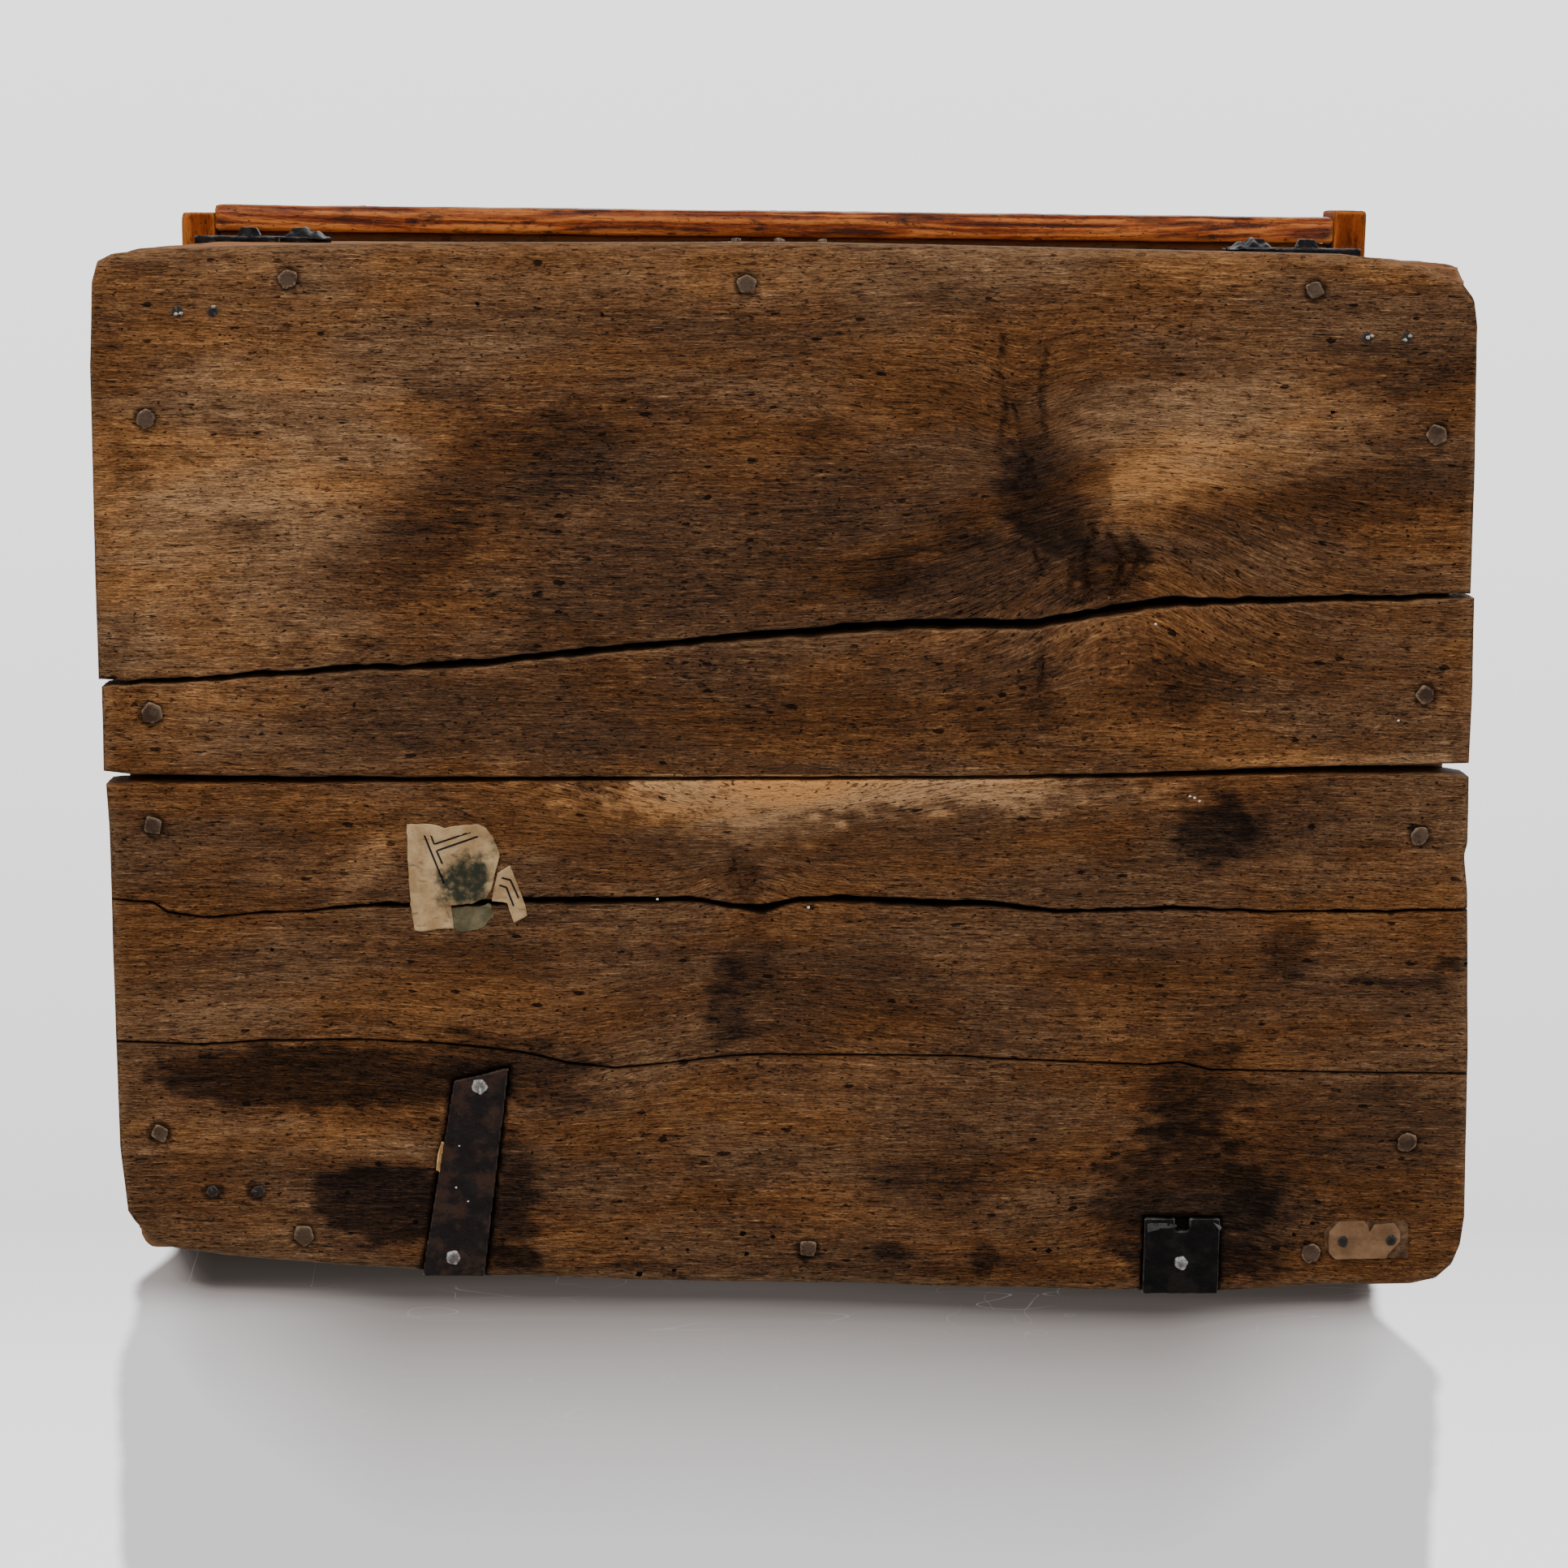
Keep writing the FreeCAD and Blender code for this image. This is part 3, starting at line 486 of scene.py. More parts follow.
@cache
def scuffs() -> Tree:
    """Fine scratches across the surface and rubbed-in grime.

    Returns:
        The group.
    """
    graph = GroupGraph("scuffs", ("Place",), ("Scratches", "Grime"))
    place = graph.entry["Place"]
    lines = []
    for turn, size in ((1.35, 0.05), (-0.35, 0.04)):
        laid = {"Vector": place, "Rotation": (0.0, 0.0, turn)}
        laid = graph.node("ShaderNodeMapping", laid).outputs[0]
        ridge = graph.math("ABSOLUTE", graph.minus(graph.noise(laid, size * 0.1, size, 1.0), 0.5))
        lines.append(graph.band(ridge, 0.0035, 0.0))
    some = graph.band(graph.noise(place, 0.02, 0.02, 2.0), 0.5, 0.62)
    graph.fill(graph.leave, {
        "Scratches": graph.times(graph.total(lines), some),
        "Grime": graph.band(graph.noise(place, 0.08, 0.2, 4.0, 0.7), 0.54, 0.7),
    })
    return graph.tree


@cache
def forged_skin() -> Tree:
    """Rubbed edges, rust and hammer marks of forged iron.

    Returns:
        The group.
    """
    graph = GroupGraph("forged_skin", ("Place",), ("Worn", "Rust", "Pits", "Hammer"))
    place = graph.entry["Place"]
    uneven = graph.swing(graph.noise(place, 0.35, 0.35, 4.0), 0.09)
    graph.fill(graph.leave, {
        "Worn": graph.band(graph.plus(graph.ridge(), uneven), 0.52, 0.58),
        "Rust": graph.band(graph.noise(place, 0.12, 0.12, 6.0, 0.65), 0.46, 0.62),
        "Pits": graph.noise(place, 1.1, 1.1, 3.0, 0.6),
        "Hammer": graph.noise(place, 0.17, 0.17, 2.0, 0.4),
    })
    return graph.tree


class MaterialGraph(Graph):
    """Node tree of a new material, round its principled shader."""

    def __init__(self, name: str) -> None:
        """Starts the material.

        Args:
            name: Name of the material.
        """
        self.made = bpy.data.materials.new(name)
        self.made.use_nodes = True
        super().__init__(self.made.node_tree)
        self.shader = self.tree.nodes["Principled BSDF"]

    def finish(self, inputs: dict) -> Material:
        """Feeds the shader and gives the material."""
        self.fill(self.shader, inputs)
        return self.made

    def normal(self, height: object, depth: float) -> Socket:
        """Gives the relief of a height of about 0 to 1, as deep as it says in metres."""
        inputs = {"Height": height, "Distance": depth, "Strength": 1.0}
        return self.node("ShaderNodeBump", inputs).outputs["Normal"]

    def seen(self) -> Socket:
        """Gives 1 where the camera looks at the upper side of a sheet and 0 elsewhere."""
        back = self.node("ShaderNodeNewGeometry").outputs["Backfacing"]
        return self.math("GREATER_THAN", self.node("ShaderNodeLightPath").outputs["Is Camera Ray"], back)

    def veil(self, shown: object) -> None:
        """Lets the material show in places only.

        Args:
            shown: Where it shows, 0 to 1.
        """
        clear = self.node("ShaderNodeBsdfTransparent").outputs[0]
        blend = self.node("ShaderNodeMixShader", {0: shown, 1: clear, 2: self.shader.outputs[0]})
        self.feed(self.tree.nodes["Material Output"].inputs["Surface"], blend.outputs[0])


@dataclass(frozen=True)
class RawBoard:
    """Bare, handled pine of the underside; tone, ring, wear and painted shade come from the boards' meshes.
    """

    name: str = "raw_underside"
    painted_shade_and_dirt: Colour = paint(10, 6, 4)
    rubbed: Colour = paint(136, 104, 74)
    warm: Colour = (1.12, 0.97, 0.76, 1.0)
    cool: Colour = (0.96, 1.0, 1.08, 1.0)
    band_mm: float = 2.4
    roughness: float = 0.66
    rough_swing: float = 0.3
    gloss: float = 0.03
    depth: float = 0.9 * MM
    middle_shade: float = 0.535
    tone_share: float = 0.46
    swings: Shares = (("Figure", 0.1), ("Fibre", 1.3), ("Mottle", 0.36), ("Lines", 0.28), ("Grit", 0.36))
    marks: Shares = (
        ("Flecks", -0.3), ("Rubs", 0.16), ("Frayed", 0.2), ("Pores", -0.46), ("Grime", -0.1),
        ("Scratches", 0.08),
    )
    relief: Shares = (("Fibre", 1.2), ("Grit", 0.5), ("Pores", -0.8), ("Scratches", -0.3))
    tones: Stops = (
        (0.0, (0.009, 0.0052, 0.0035, 1.0)),
        (0.25, (0.031, 0.0155, 0.0085, 1.0)),
        (0.5, (0.088, 0.039, 0.0165, 1.0)),
        (0.75, (0.195, 0.098, 0.043, 1.0)),
        (1.0, (0.40, 0.215, 0.095, 1.0)),
    )

    def parts(self, graph: Graph) -> Parts:
        """Lists what changes over the wood; the grain follows the rings of the mesh.

        Args:
            graph: Graph of the material.

        Returns:
            Values from 0 to 1 by name.
        """
        here = graph.here()
        flow = {"X": graph.axis(here, "X"), "Y": graph.value("ring"), "Z": graph.axis(here, "Z")}
        place = graph.node("ShaderNodeCombineXYZ", flow).outputs[0]
        grain = graph.group(pine_grain(), {"Place": place, "Band": self.band_mm})
        clusters = graph.band(graph.noise(here, 0.035, 0.05, 3.0), 0.42, 0.62)
        flecks = graph.band(graph.noise(here, 0.22, 0.5, 5.0, 0.75), 0.56, 0.64)
        return grain | graph.group(scuffs(), {"Place": here}) | {
            "Lines": graph.noise(place, 0.03, 1.5, 2.0, 0.6),
            "Grit": graph.noise(place, 0.9, 1.7, 1.0),
            "Flecks": graph.times(flecks, clusters),
            "Rubs": graph.band(graph.noise(here, 0.3, 0.75, 4.0, 0.7), 0.6, 0.68),
            "Frayed": graph.band(graph.noise(place, 0.1, 1.9, 2.0), 0.6, 0.72),
            "Hue": graph.band(graph.noise(place, 0.012, 0.035, 3.0), 0.4, 0.62),
        }

    def material(self) -> Material:
        """Makes the material.

        Returns:
            The material.
        """
        graph = MaterialGraph(self.name)
        parts = self.parts(graph)
        tone = graph.times(graph.value("tone"), self.tone_share)
        marks = graph.weighed(parts, self.marks)
        shade = graph.total([self.middle_shade, tone, graph.swings(parts, self.swings), marks])
        colour = graph.ramp(shade, self.tones)
        warmer = graph.mix(1.0, colour, self.warm, "MULTIPLY")
        cooler = graph.mix(1.0, colour, self.cool, "MULTIPLY")
        colour = graph.mix(parts["Hue"], cooler, warmer)
        rubbed = graph.times(graph.value("wear"), graph.band(parts["Fibre"], 0.36, 0.6))
        colour = graph.mix(rubbed, colour, self.rubbed)
        return graph.finish({
            # near-black painted shade round nail heads, beside the straps, along cracks and in grooves
            "Base Color": graph.mix(graph.value("painted_shade_and_dirt"), colour, self.painted_shade_and_dirt),
            "Roughness": graph.plus(graph.swing(parts["Fibre"], self.rough_swing), self.roughness),
            "Specular IOR Level": self.gloss,
            "Normal": graph.normal(graph.weighed(parts, self.relief), self.depth),
        })


@dataclass(frozen=True)
class Pine:
    """Pine of the walls and the lid, more or less varnished and rubbed."""

    name: str
    deep: Colour
    middle: Colour
    pale: Colour
    grime: Colour
    grain: Grain = Grain.ALONG_X
    band_mm: float = 3.2
    grime_share: float = 0.6
    wear_share: float = 0.7
    roughness: float = 0.45
    rough_swing: float = 0.2
    rough_edge: float = 0.15
    coat: float = 0.0
    coat_roughness: float = 0.25
    gloss: float = 0.12
    figure: float = 0.3
    fibre: float = 0.5
    mottle: float = 0.7
    scratches: float = 0.2
    foot_mm: float = 0.0
    foot_soft_mm: float = 40.0
    foot_unevenness: float = 1.4
    foot_fibre: float = 0.8
    foot: Colour = paint(92, 61, 38)
    depth: float = 0.3 * MM
    relief: Shares = (("Fibre", 1.0), ("Figure", 0.4), ("Pores", -0.7))

    def material(self) -> Material:
        """Makes the material.

        Returns:
            The material.
        """
        graph = MaterialGraph(self.name)
        place = graph.here(self.grain)
        parts = graph.group(pine_grain(), {"Place": place, "Band": self.band_mm})
        parts |= graph.group(scuffs(), {"Place": place})
        widths = (("Figure", self.figure), ("Fibre", self.fibre), ("Mottle", self.mottle))
        scratches = graph.times(parts["Scratches"], self.scratches)
        shade = graph.total([0.5, graph.swings(parts, widths), scratches])
        colour = graph.ramp(shade, ((0.15, self.deep), (0.5, self.middle), (0.85, self.pale)))
        edge = graph.band(graph.plus(graph.ridge(), graph.swing(parts["Mottle"], 0.12)), 0.51, 0.56)
        colour = graph.mix(graph.times(edge, self.wear_share), colour, self.pale)
        if self.foot_mm:
            soft = self.foot_soft_mm
            uneven = graph.swing(parts["Mottle"], self.foot_unevenness * soft)
            high = graph.plus(graph.axis(place, "Z"), uneven)
            low = graph.band(high, self.foot_mm + soft, self.foot_mm - soft)
            stained = graph.mix(graph.times(parts["Fibre"], self.foot_fibre), self.foot, colour)
            colour = graph.mix(low, colour, stained)
        dirty = graph.math("MAXIMUM", parts["Pores"], parts["Grime"])
        rough = graph.plus(graph.swing(parts["Fibre"], self.rough_swing), graph.times(edge, self.rough_edge))
        return graph.finish({
            "Base Color": graph.mix(graph.times(dirty, self.grime_share), colour, self.grime),
            "Roughness": graph.plus(rough, self.roughness),
            "Specular IOR Level": self.gloss,
            "Coat Weight": self.coat,
            "Coat Roughness": self.coat_roughness,
            "Normal": graph.normal(graph.weighed(parts, self.relief), self.depth),
        })


@dataclass(frozen=True)
class Iron:
    """Forged iron, blackened, rusty or bare."""

    name: str
    skin: Colour
    rust: Colour
    bare: Colour
    pitted: Colour = (0.35, 0.3, 0.28, 1.0)
    rust_share: float = 0.5
    wear_share: float = 0.8
    roughness: float = 0.5
    rough_shares: Shares = (("Rusty", 0.35), ("Bare", -0.15))
    rough_swing: float = 0.2
    metallic: float = 0.5
    rust_dulling: float = 0.8
    gloss: float = 0.2
    depth: float = 0.4 * MM
    relief: Shares = (("Hammer", 2.2), ("Pits", 0.5))

    def material(self) -> Material:
        """Makes the material.

        Returns:
            The material.
        """
        graph = MaterialGraph(self.name)
        parts = graph.group(forged_skin(), {"Place": graph.here()})
        rusty = graph.times(parts["Rust"], self.rust_share)
        worn = graph.times(parts["Worn"], self.wear_share)
        colour = graph.mix(rusty, self.skin, self.rust)
        colour = graph.mix(worn, colour, self.bare)
        darker = graph.mix(1.0, colour, self.pitted, "MULTIPLY")
        rough = graph.weighed({"Rusty": rusty, "Bare": worn}, self.rough_shares)
        rough = graph.plus(rough, graph.swing(parts["Pits"], self.rough_swing))
        return graph.finish({
            "Base Color": graph.mix(graph.band(parts["Pits"], 0.42, 0.3), colour, darker),
            "Roughness": graph.plus(rough, self.roughness),
            "Metallic": graph.minus(self.metallic, graph.times(rusty, self.metallic * self.rust_dulling)),
            "Specular IOR Level": self.gloss,
            "Normal": graph.normal(graph.weighed(parts, self.relief), self.depth),
        })


@dataclass(frozen=True)
class Card:
    """Worn millboard or old paper; a dirt value of the mesh, the one that carries painted shade on the
    boards, darkens it in blots.
    """

    name: str
    middle: Colour
    pale: Colour
    dirt: Colour
    dirt_share: float = 0.6
    speck: float = 0.6
    roughness: float = 0.8
    rough_swing: float = 0.2
    gloss: float = 0.05
    depth: float = 0.1 * MM
    dirt_scale: Triple = (3.0, 3.0, 3.0)
    blot_width: float = 1.6

    def material(self) -> Material:
        """Makes the material.

        Returns:
            The material.
        """
        graph = MaterialGraph(self.name)
        place = graph.here()
        cloud = graph.noise(place, 0.12, 0.12, 5.0, 0.6)
        fibre = graph.noise(place, 0.9, 1.6, 4.0, 0.65)
        blots = graph.swing(graph.noise(place, 0.35, 0.35, 5.0, 0.7), self.blot_width)
        marks = graph.group(scuffs(), {"Place": graph.scaled(place, self.dirt_scale)})
        painted_shade_and_dirt = graph.band(graph.plus(graph.value("painted_shade_and_dirt"), blots), 0.15, 1.05)
        colour = graph.mix(graph.band(cloud, 0.35, 0.65), self.middle, self.pale)
        specks = graph.times(graph.band(fibre, 0.6, 0.72), self.speck)
        for share in (graph.times(marks["Grime"], self.dirt_share), specks, painted_shade_and_dirt):
            colour = graph.mix(share, colour, self.dirt)
        return graph.finish({
            "Base Color": colour,
            "Roughness": graph.plus(graph.swing(fibre, self.rough_swing), self.roughness),
            "Specular IOR Level": self.gloss,
            "Normal": graph.normal(fibre, self.depth),
        })


@dataclass(frozen=True)
class StainAndShade:
    """A darker or paler patch of a board, placed by pixels of the photograph; most are stains, a few are
    painted shade.
    """

    about: str
    u: float
    v: float
    half_width: float
    half_height: float
    tone: float
    tilt: float = 0.0
    softness: float = 0.45
    above: float = 0.0
    raggedness: float = 1.35
    blur: float = 0.62

    def shade(self, u: Array, v: Array, ragged: Array) -> Array:
        """Reads the patch.

        Args:
            u: Pixels from the left.
            v: Pixels from the top.
            ragged: Noise that frays the patch's edge.

        Returns:
            Tone that the patch adds.
        """
        cos, sin = math.cos(math.radians(self.tilt)), math.sin(math.radians(self.tilt))
        along = ((u - self.u) * cos + (v - self.v) * sin) / self.half_width
        beside = ((v - self.v) * cos - (u - self.u) * sin) / self.half_height
        reach = np.hypot(along, beside) + self.raggedness * ragged * self.softness
        soft = self.blur * self.softness
        return self.tone * ease(1.0 + soft, 1.0 - soft, reach) * (v > self.above)


@dataclass(frozen=True)
class Swirl:
    """Place where the growth rings bend round a knot; a positive lift bends them to the front."""

    about: str
    u: float
    v: float
    half_width: float
    half_height: float
    lift_mm: float
    above: float = 0.0

    def bend(self, u: Array, v: Array) -> Array:
        """Gives the bend of the rings in millimetres at pixels from the left and the top."""
        across, down = (u - self.u) / self.half_width, (v - self.v) / self.half_height
        return self.lift_mm * np.exp(-(across**2) - down**2) * (v > self.above)


@dataclass(frozen=True)
class Scar:
    """A groove in a board along pixels of the photograph."""

    line: Line
    width: float
    depth_mm: float

    def reach(self, u: Array, v: Array) -> Array:
        """Gives how deep in the groove each point lies.

        Args:
            u: Pixels from the left.
            v: Pixels from the top.

        Returns:
            Share of the depth, 0 outside and 1 at the bottom.
        """
        nearest = np.full(u.shape, np.inf)
        for (u0, v0), (u1, v1) in zip(self.line, self.line[1:]):
            run = (u1 - u0) ** 2 + (v1 - v0) ** 2
            share = np.clip(((u - u0) * (u1 - u0) + (v - v0) * (v1 - v0)) / run, 0.0, 1.0)
            gap = np.hypot(u - u0 - share * (u1 - u0), v - v0 - share * (v1 - v0))
            nearest = np.minimum(nearest, gap)
        return ease(self.width, 0.0, nearest)


STAINS_AND_SHADE = (
    StainAndShade("pale left end of the front board", 265, 690, 190, 150, 0.38),
    StainAndShade("pale streaks above it", 330, 540, 230, 110, 0.30),
    StainAndShade("rubbed front edge", 900, 335, 820, 26, 0.26),
    StainAndShade("paler top left", 420, 420, 300, 60, 0.18),
    StainAndShade("dark run beside the pale end", 640, 575, 150, 60, -0.26, -20),
    StainAndShade("dark foot of the run", 480, 690, 130, 40, -0.22, -25),
    StainAndShade("dark middle of the front board", 900, 640, 420, 130, -0.18),
    StainAndShade("dark rim of the front board", 760, 740, 420, 45, -0.16, -8),
    StainAndShade("dark fleck", 300, 655, 34, 10, -0.45),
    StainAndShade("thumbed spot", 700, 505, 26, 18, -0.12),
    StainAndShade("pale patch at the right", 1520, 530, 200, 78, 0.5, -14),
    StainAndShade("pale tail of the patch", 1425, 600, 100, 44, 0.36, -35),
    StainAndShade("dark corner over the patch", 1720, 455, 120, 40, -0.34),
    StainAndShade("dark scar of a branch", 1262, 520, 34, 120, -0.16),
    StainAndShade("dark smear by the knot", 1295, 612, 66, 68, -0.5, 15, 0.35),
    StainAndShade("dark foot left of the knot", 1225, 700, 140, 56, -0.26),
    StainAndShade("knot", 1372, 702, 46, 46, -0.5),
    StainAndShade("dark band below the patch", 1640, 625, 220, 38, -0.3, -13),
    StainAndShade("brown right corner", 1700, 690, 130, 50, -0.05),
    StainAndShade("paler left end of the strip", 250, 905, 140, 45, 0.1),
    StainAndShade("dark middle of the strip", 800, 880, 380, 60, -0.22),
    StainAndShade("dark end of the knot", 1240, 865, 60, 55, -0.2),
    StainAndShade("dark crease", 1285, 830, 16, 40, -0.2),
    StainAndShade("scuffed right end of the strip", 1600, 905, 240, 40, 0.08),
    StainAndShade("dark smear of the strip", 1440, 850, 90, 34, -0.22),
    StainAndShade("pale rim of the strip", 1650, 938, 170, 10, 0.45),
    StainAndShade("pale band under the gap", 1050, 972, 310, 34, 0.85, 0.0, 0.55, 954.0),
    StainAndShade("pale heart of the band", 915, 1008, 120, 40, 0.5, 0.0, 0.55, 954.0),
    StainAndShade("dark blotch", 1490, 1020, 62, 42, -0.7),
    StainAndShade("dark haze by the blotch", 1570, 1000, 80, 36, -0.3),
    StainAndShade("grey rub beside the scrap", 448, 1072, 56, 30, 0.4, -50),
    StainAndShade("small knot", 918, 1082, 18, 26, -0.3),
    StainAndShade("dark lower left", 300, 1060, 160, 60, -0.12),
    StainAndShade("dark streak below the crack", 893, 1243, 26, 56, -0.4),
    StainAndShade("dark streak above it", 928, 1180, 30, 44, -0.3),
    StainAndShade("mottled middle", 1020, 1225, 150, 60, -0.2),
    StainAndShade("dark drift", 585, 1190, 90, 30, -0.16),
    StainAndShade("pale drift", 450, 1236, 260, 40, 0.14),
    StainAndShade("dark bits at the right edge", 1795, 1188, 22, 8, -0.7),
    StainAndShade("dark bits beside them", 1722, 1208, 72, 8, -0.45),
    StainAndShade("smear at the right", 1592, 1172, 30, 30, -0.35),
    StainAndShade("rubbed mark", 1365, 1245, 36, 40, 0.2),
    StainAndShade("long dark band of a lost iron", 415, 1327, 226, 38, -0.72, 2, 0.2),
    StainAndShade("end of the dark band", 640, 1318, 100, 42, -0.5, 12),
    StainAndShade("pale wood below the band", 370, 1402, 200, 24, 0.28),
    StainAndShade("dark tongue left of the long strap", 478, 1482, 88, 50, -0.85, 4, 0.25),
    StainAndShade("halo right of the long strap", 628, 1470, 40, 78, -0.7, 0, 0.6),
    StainAndShade("foot of the long strap", 590, 1570, 90, 30, -0.35),
    StainAndShade("stain over the short strap", 1475, 1345, 66, 56, -0.5),
    StainAndShade("halo of the short strap", 1465, 1480, 92, 105, -0.66),
    StainAndShade("smear beside the short strap", 1550, 1500, 44, 90, -0.3),
    StainAndShade("spot at the back edge", 1095, 1540, 18, 10, -0.6),
    StainAndShade("spot beside it", 1210, 1550, 16, 22, -0.6),
    StainAndShade("faint cloud", 1150, 1452, 70, 26, -0.3),
    # painted shadow along the back edge, next to the floor
    StainAndShade("dark back edge", 1000, 1570, 420, 22, -0.3),
    # painted shade in the holes of two lost tacks
    StainAndShade("pit of a lost tack", 263, 1468, 13, 9, -0.9, 0.0, 0.3),
    StainAndShade("pit of the tack beside it", 317, 1468, 13, 9, -0.9, 0.0, 0.3),
    StainAndShade("dark right end of the back board", 1660, 1420, 150, 90, -0.24),
    StainAndShade("dark right half of the middle", 1540, 1220, 220, 70, -0.16),
    StainAndShade("dark right part of the strip", 1560, 830, 180, 50, -0.16),
    StainAndShade("pale upper left of the back board", 330, 1040, 150, 50, 0.1),
    StainAndShade("paler right of the front board", 1660, 680, 120, 40, 0.12),
)

SWIRLS = (
    Swirl("rings over the large knot", 1385, 700, 170, 130, 24.0),
    Swirl("rings round the branch scar", 1262, 520, 60, 110, -6.0),
    Swirl("arcs under the gap", 930, 985, 210, 52, -14.0, 954.0),
    Swirl("rings round the small knot", 918, 1085, 70, 40, 6.0),
    Swirl("wave below the crack", 930, 1240, 170, 70, 5.0),
    Swirl("rings by the long strap", 640, 1340, 130, 80, -6.0),
    Swirl("rings by the short strap", 1465, 1480, 130, 90, 5.0),
)

SCARS = (
    Scar(((1238, 415), (1230, 455), (1240, 500), (1228, 560)), 6, 0.5),
    Scar(((1290, 430), (1283, 480), (1288, 530), (1268, 575), (1250, 600)), 6, 0.6),
    Scar(((1250, 500), (1262, 560), (1275, 590)), 5, 0.4),
    Scar(((1348, 655), (1335, 690), (1342, 740)), 7, 0.9),
    Scar(((1368, 660), (1385, 690), (1372, 735)), 8, 1.1),
    Scar(((1395, 660), (1405, 690), (1385, 725)), 6, 0.8),
    Scar(((1322, 690), (1318, 735)), 6, 0.6),
    Scar(((1275, 680), (1283, 700), (1278, 715)), 5, 0.6),
    Scar(((566, 665), (577, 676)), 5, 0.7),
    Scar(((290, 652), (318, 650)), 5, 0.6),
    Scar(((905, 1060), (900, 1078), (915, 1095), (932, 1085), (925, 1068)), 5, 0.7),
    Scar(((1283, 815), (1288, 835), (1280, 850)), 5, 0.6),
)


def along(points: Array, shares: Array) -> Array:
    """Walks along a line of points.

    Args:
        points: Points of the line.
        shares: Shares of its length, 0 to 1.

    Returns:
        A point for each share.
    """
    steps = np.hypot(*np.diff(points, axis=0).T)
    run = np.concatenate([[0.0], np.cumsum(steps)]) / steps.sum()
    return np.stack([np.interp(shares, run, points[:, k]) for k in (0, 1)], axis=1)


def spread(length: float, step: float, rim: Sequence[float]) -> Array:
    """Divides a length evenly, and finely at both ends.

    Args:
        length: Whole length.
        step: Even step inside.
        rim: Distances of the fine rows from an end.

    Returns:
        Shares of the length, 0 to 1.
    """
    ends = np.array(rim)
    count = max(3, round((length - 2 * ends[-1]) / step))
    inner = np.linspace(ends[-1], length - ends[-1], count)[1:-1]
    return np.concatenate([ends, inner, length - ends[::-1]]) / length


def rolled(gap: Array, radius: Array) -> Array:
    """Tells how far a rounded edge falls back from its flat at a distance from the edge."""
    share = np.clip(1.0 - gap / radius, 0.0, 1.0)
    return radius * (1.0 - np.sqrt(1.0 - share**2))


def facets(*corners: Array) -> list[list[int]]:
    """Lists faces whose corners are the vertex numbers at the same place of each array."""
    return np.stack(corners, axis=-1).reshape(-1, len(corners)).tolist()


def islands(node: str) -> list[Array]:
    """Finds the separate solids of a CAD node.

    Args:
        node: Name of the node.

    Returns:
        Vertices of each solid, ordered from left to right.
    """
    shape = bmesh.new()
    shape.from_mesh(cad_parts[node].data)
    bmesh.ops.remove_doubles(shape, verts=shape.verts, dist=1e-6)
    found = []
    left = set(shape.verts)
    while left:
        open_ends = [left.pop()]
        lump = list(open_ends)
        while open_ends:
            for edge in open_ends.pop().link_edges:
                for other in edge.verts:
                    if other in left:
                        left.remove(other)
                        open_ends.append(other)
                        lump.append(other)
        found.append(np.array([v.co for v in lump]))
    shape.free()
    return sorted(found, key=lambda places: tuple(places.min(0).round(5)))


def outside(x: Array, y: Array, corners: Array) -> Array:
    """Measures how far points lie outside a convex outline.

    Args:
        x: X of the points.
        y: Y of the points.
        corners: Corners of the outline, anticlockwise.

    Returns:
        Distance of each point, negative within the outline.
    """
    far = np.full(x.shape, -np.inf)
    for (x0, y0), (x1, y1) in zip(corners, np.roll(corners, -1, axis=0)):
        length = math.hypot(x1 - x0, y1 - y0)
        if length > 0:
            far = np.maximum(far, ((x - x0) * (y1 - y0) - (y - y0) * (x1 - x0)) / length)
    return far


class Mesh:
    """Collects vertices, faces and surface values of one piece."""

    def __init__(self) -> None:
        """Starts empty."""
        self.places: list[Array] = []
        self.faces: list[Sequence[int]] = []
        self.slots: list[int] = []
        self.values: dict[str, list[tuple[int, Array]]] = {}
        self.count = 0

    def add(self, places: Array, faces: Iterable[Sequence[int]], slot: int = 0, **values: Array) -> int:
        """Adds vertices and faces between them.

        Args:
            places: Vertex places in metres, a row each.
            faces: Corner numbers, counted within these places.
            slot: Material slot of the faces.
            **values: A number for each vertex, by name.

        Returns:
            Number of the first new vertex.
        """
        first = self.count
        self.places.append(places)
        self.count += len(places)
        for face in faces:
            self.faces.append([first + corner for corner in face])
            self.slots.append(slot)
        for name in values:
            self.values.setdefault(name, []).append((first, values[name]))
        return first

    def piece(self, name: str, materials: Sequence[Material], body: Body) -> Piece:
        """Makes the object; faces of up to four corners are shaded smooth.

        Args:
            name: Name of the piece.
            materials: Materials by slot.
            body: Body that it rides on.

        Returns:
            The new object.
        """
        data = bpy.data.meshes.new(name)
        data.from_pydata(np.concatenate(self.places).tolist(), [], self.faces)
        for material in materials:
            data.materials.append(material)
        data.polygons.foreach_set("material_index", self.slots)
        data.polygons.foreach_set("use_smooth", [len(face) < 5 for face in self.faces])
        for label, parts in self.values.items():
            whole = np.zeros(self.count, np.float32)
            for first, numbers in parts:
                whole[first:first + len(numbers)] = numbers
            data.attributes.new(label, "FLOAT", "POINT").data.foreach_set("value", whole)
        data.update()
        made = placed(name, data)
        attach(made, body.value)
        return made


@dataclass(frozen=True)
class Strip:
    """A strip of board between a front and a back edge, which both run from left to right."""

    front: Array
    back: Array
    left_side: Array
    right_side: Array
    front_roll: float
    back_roll: float
    end_roll: float = 1.8 * MM
    outer_roll: float = 1.5 * MM
    crack_roll: float = 0.6 * MM


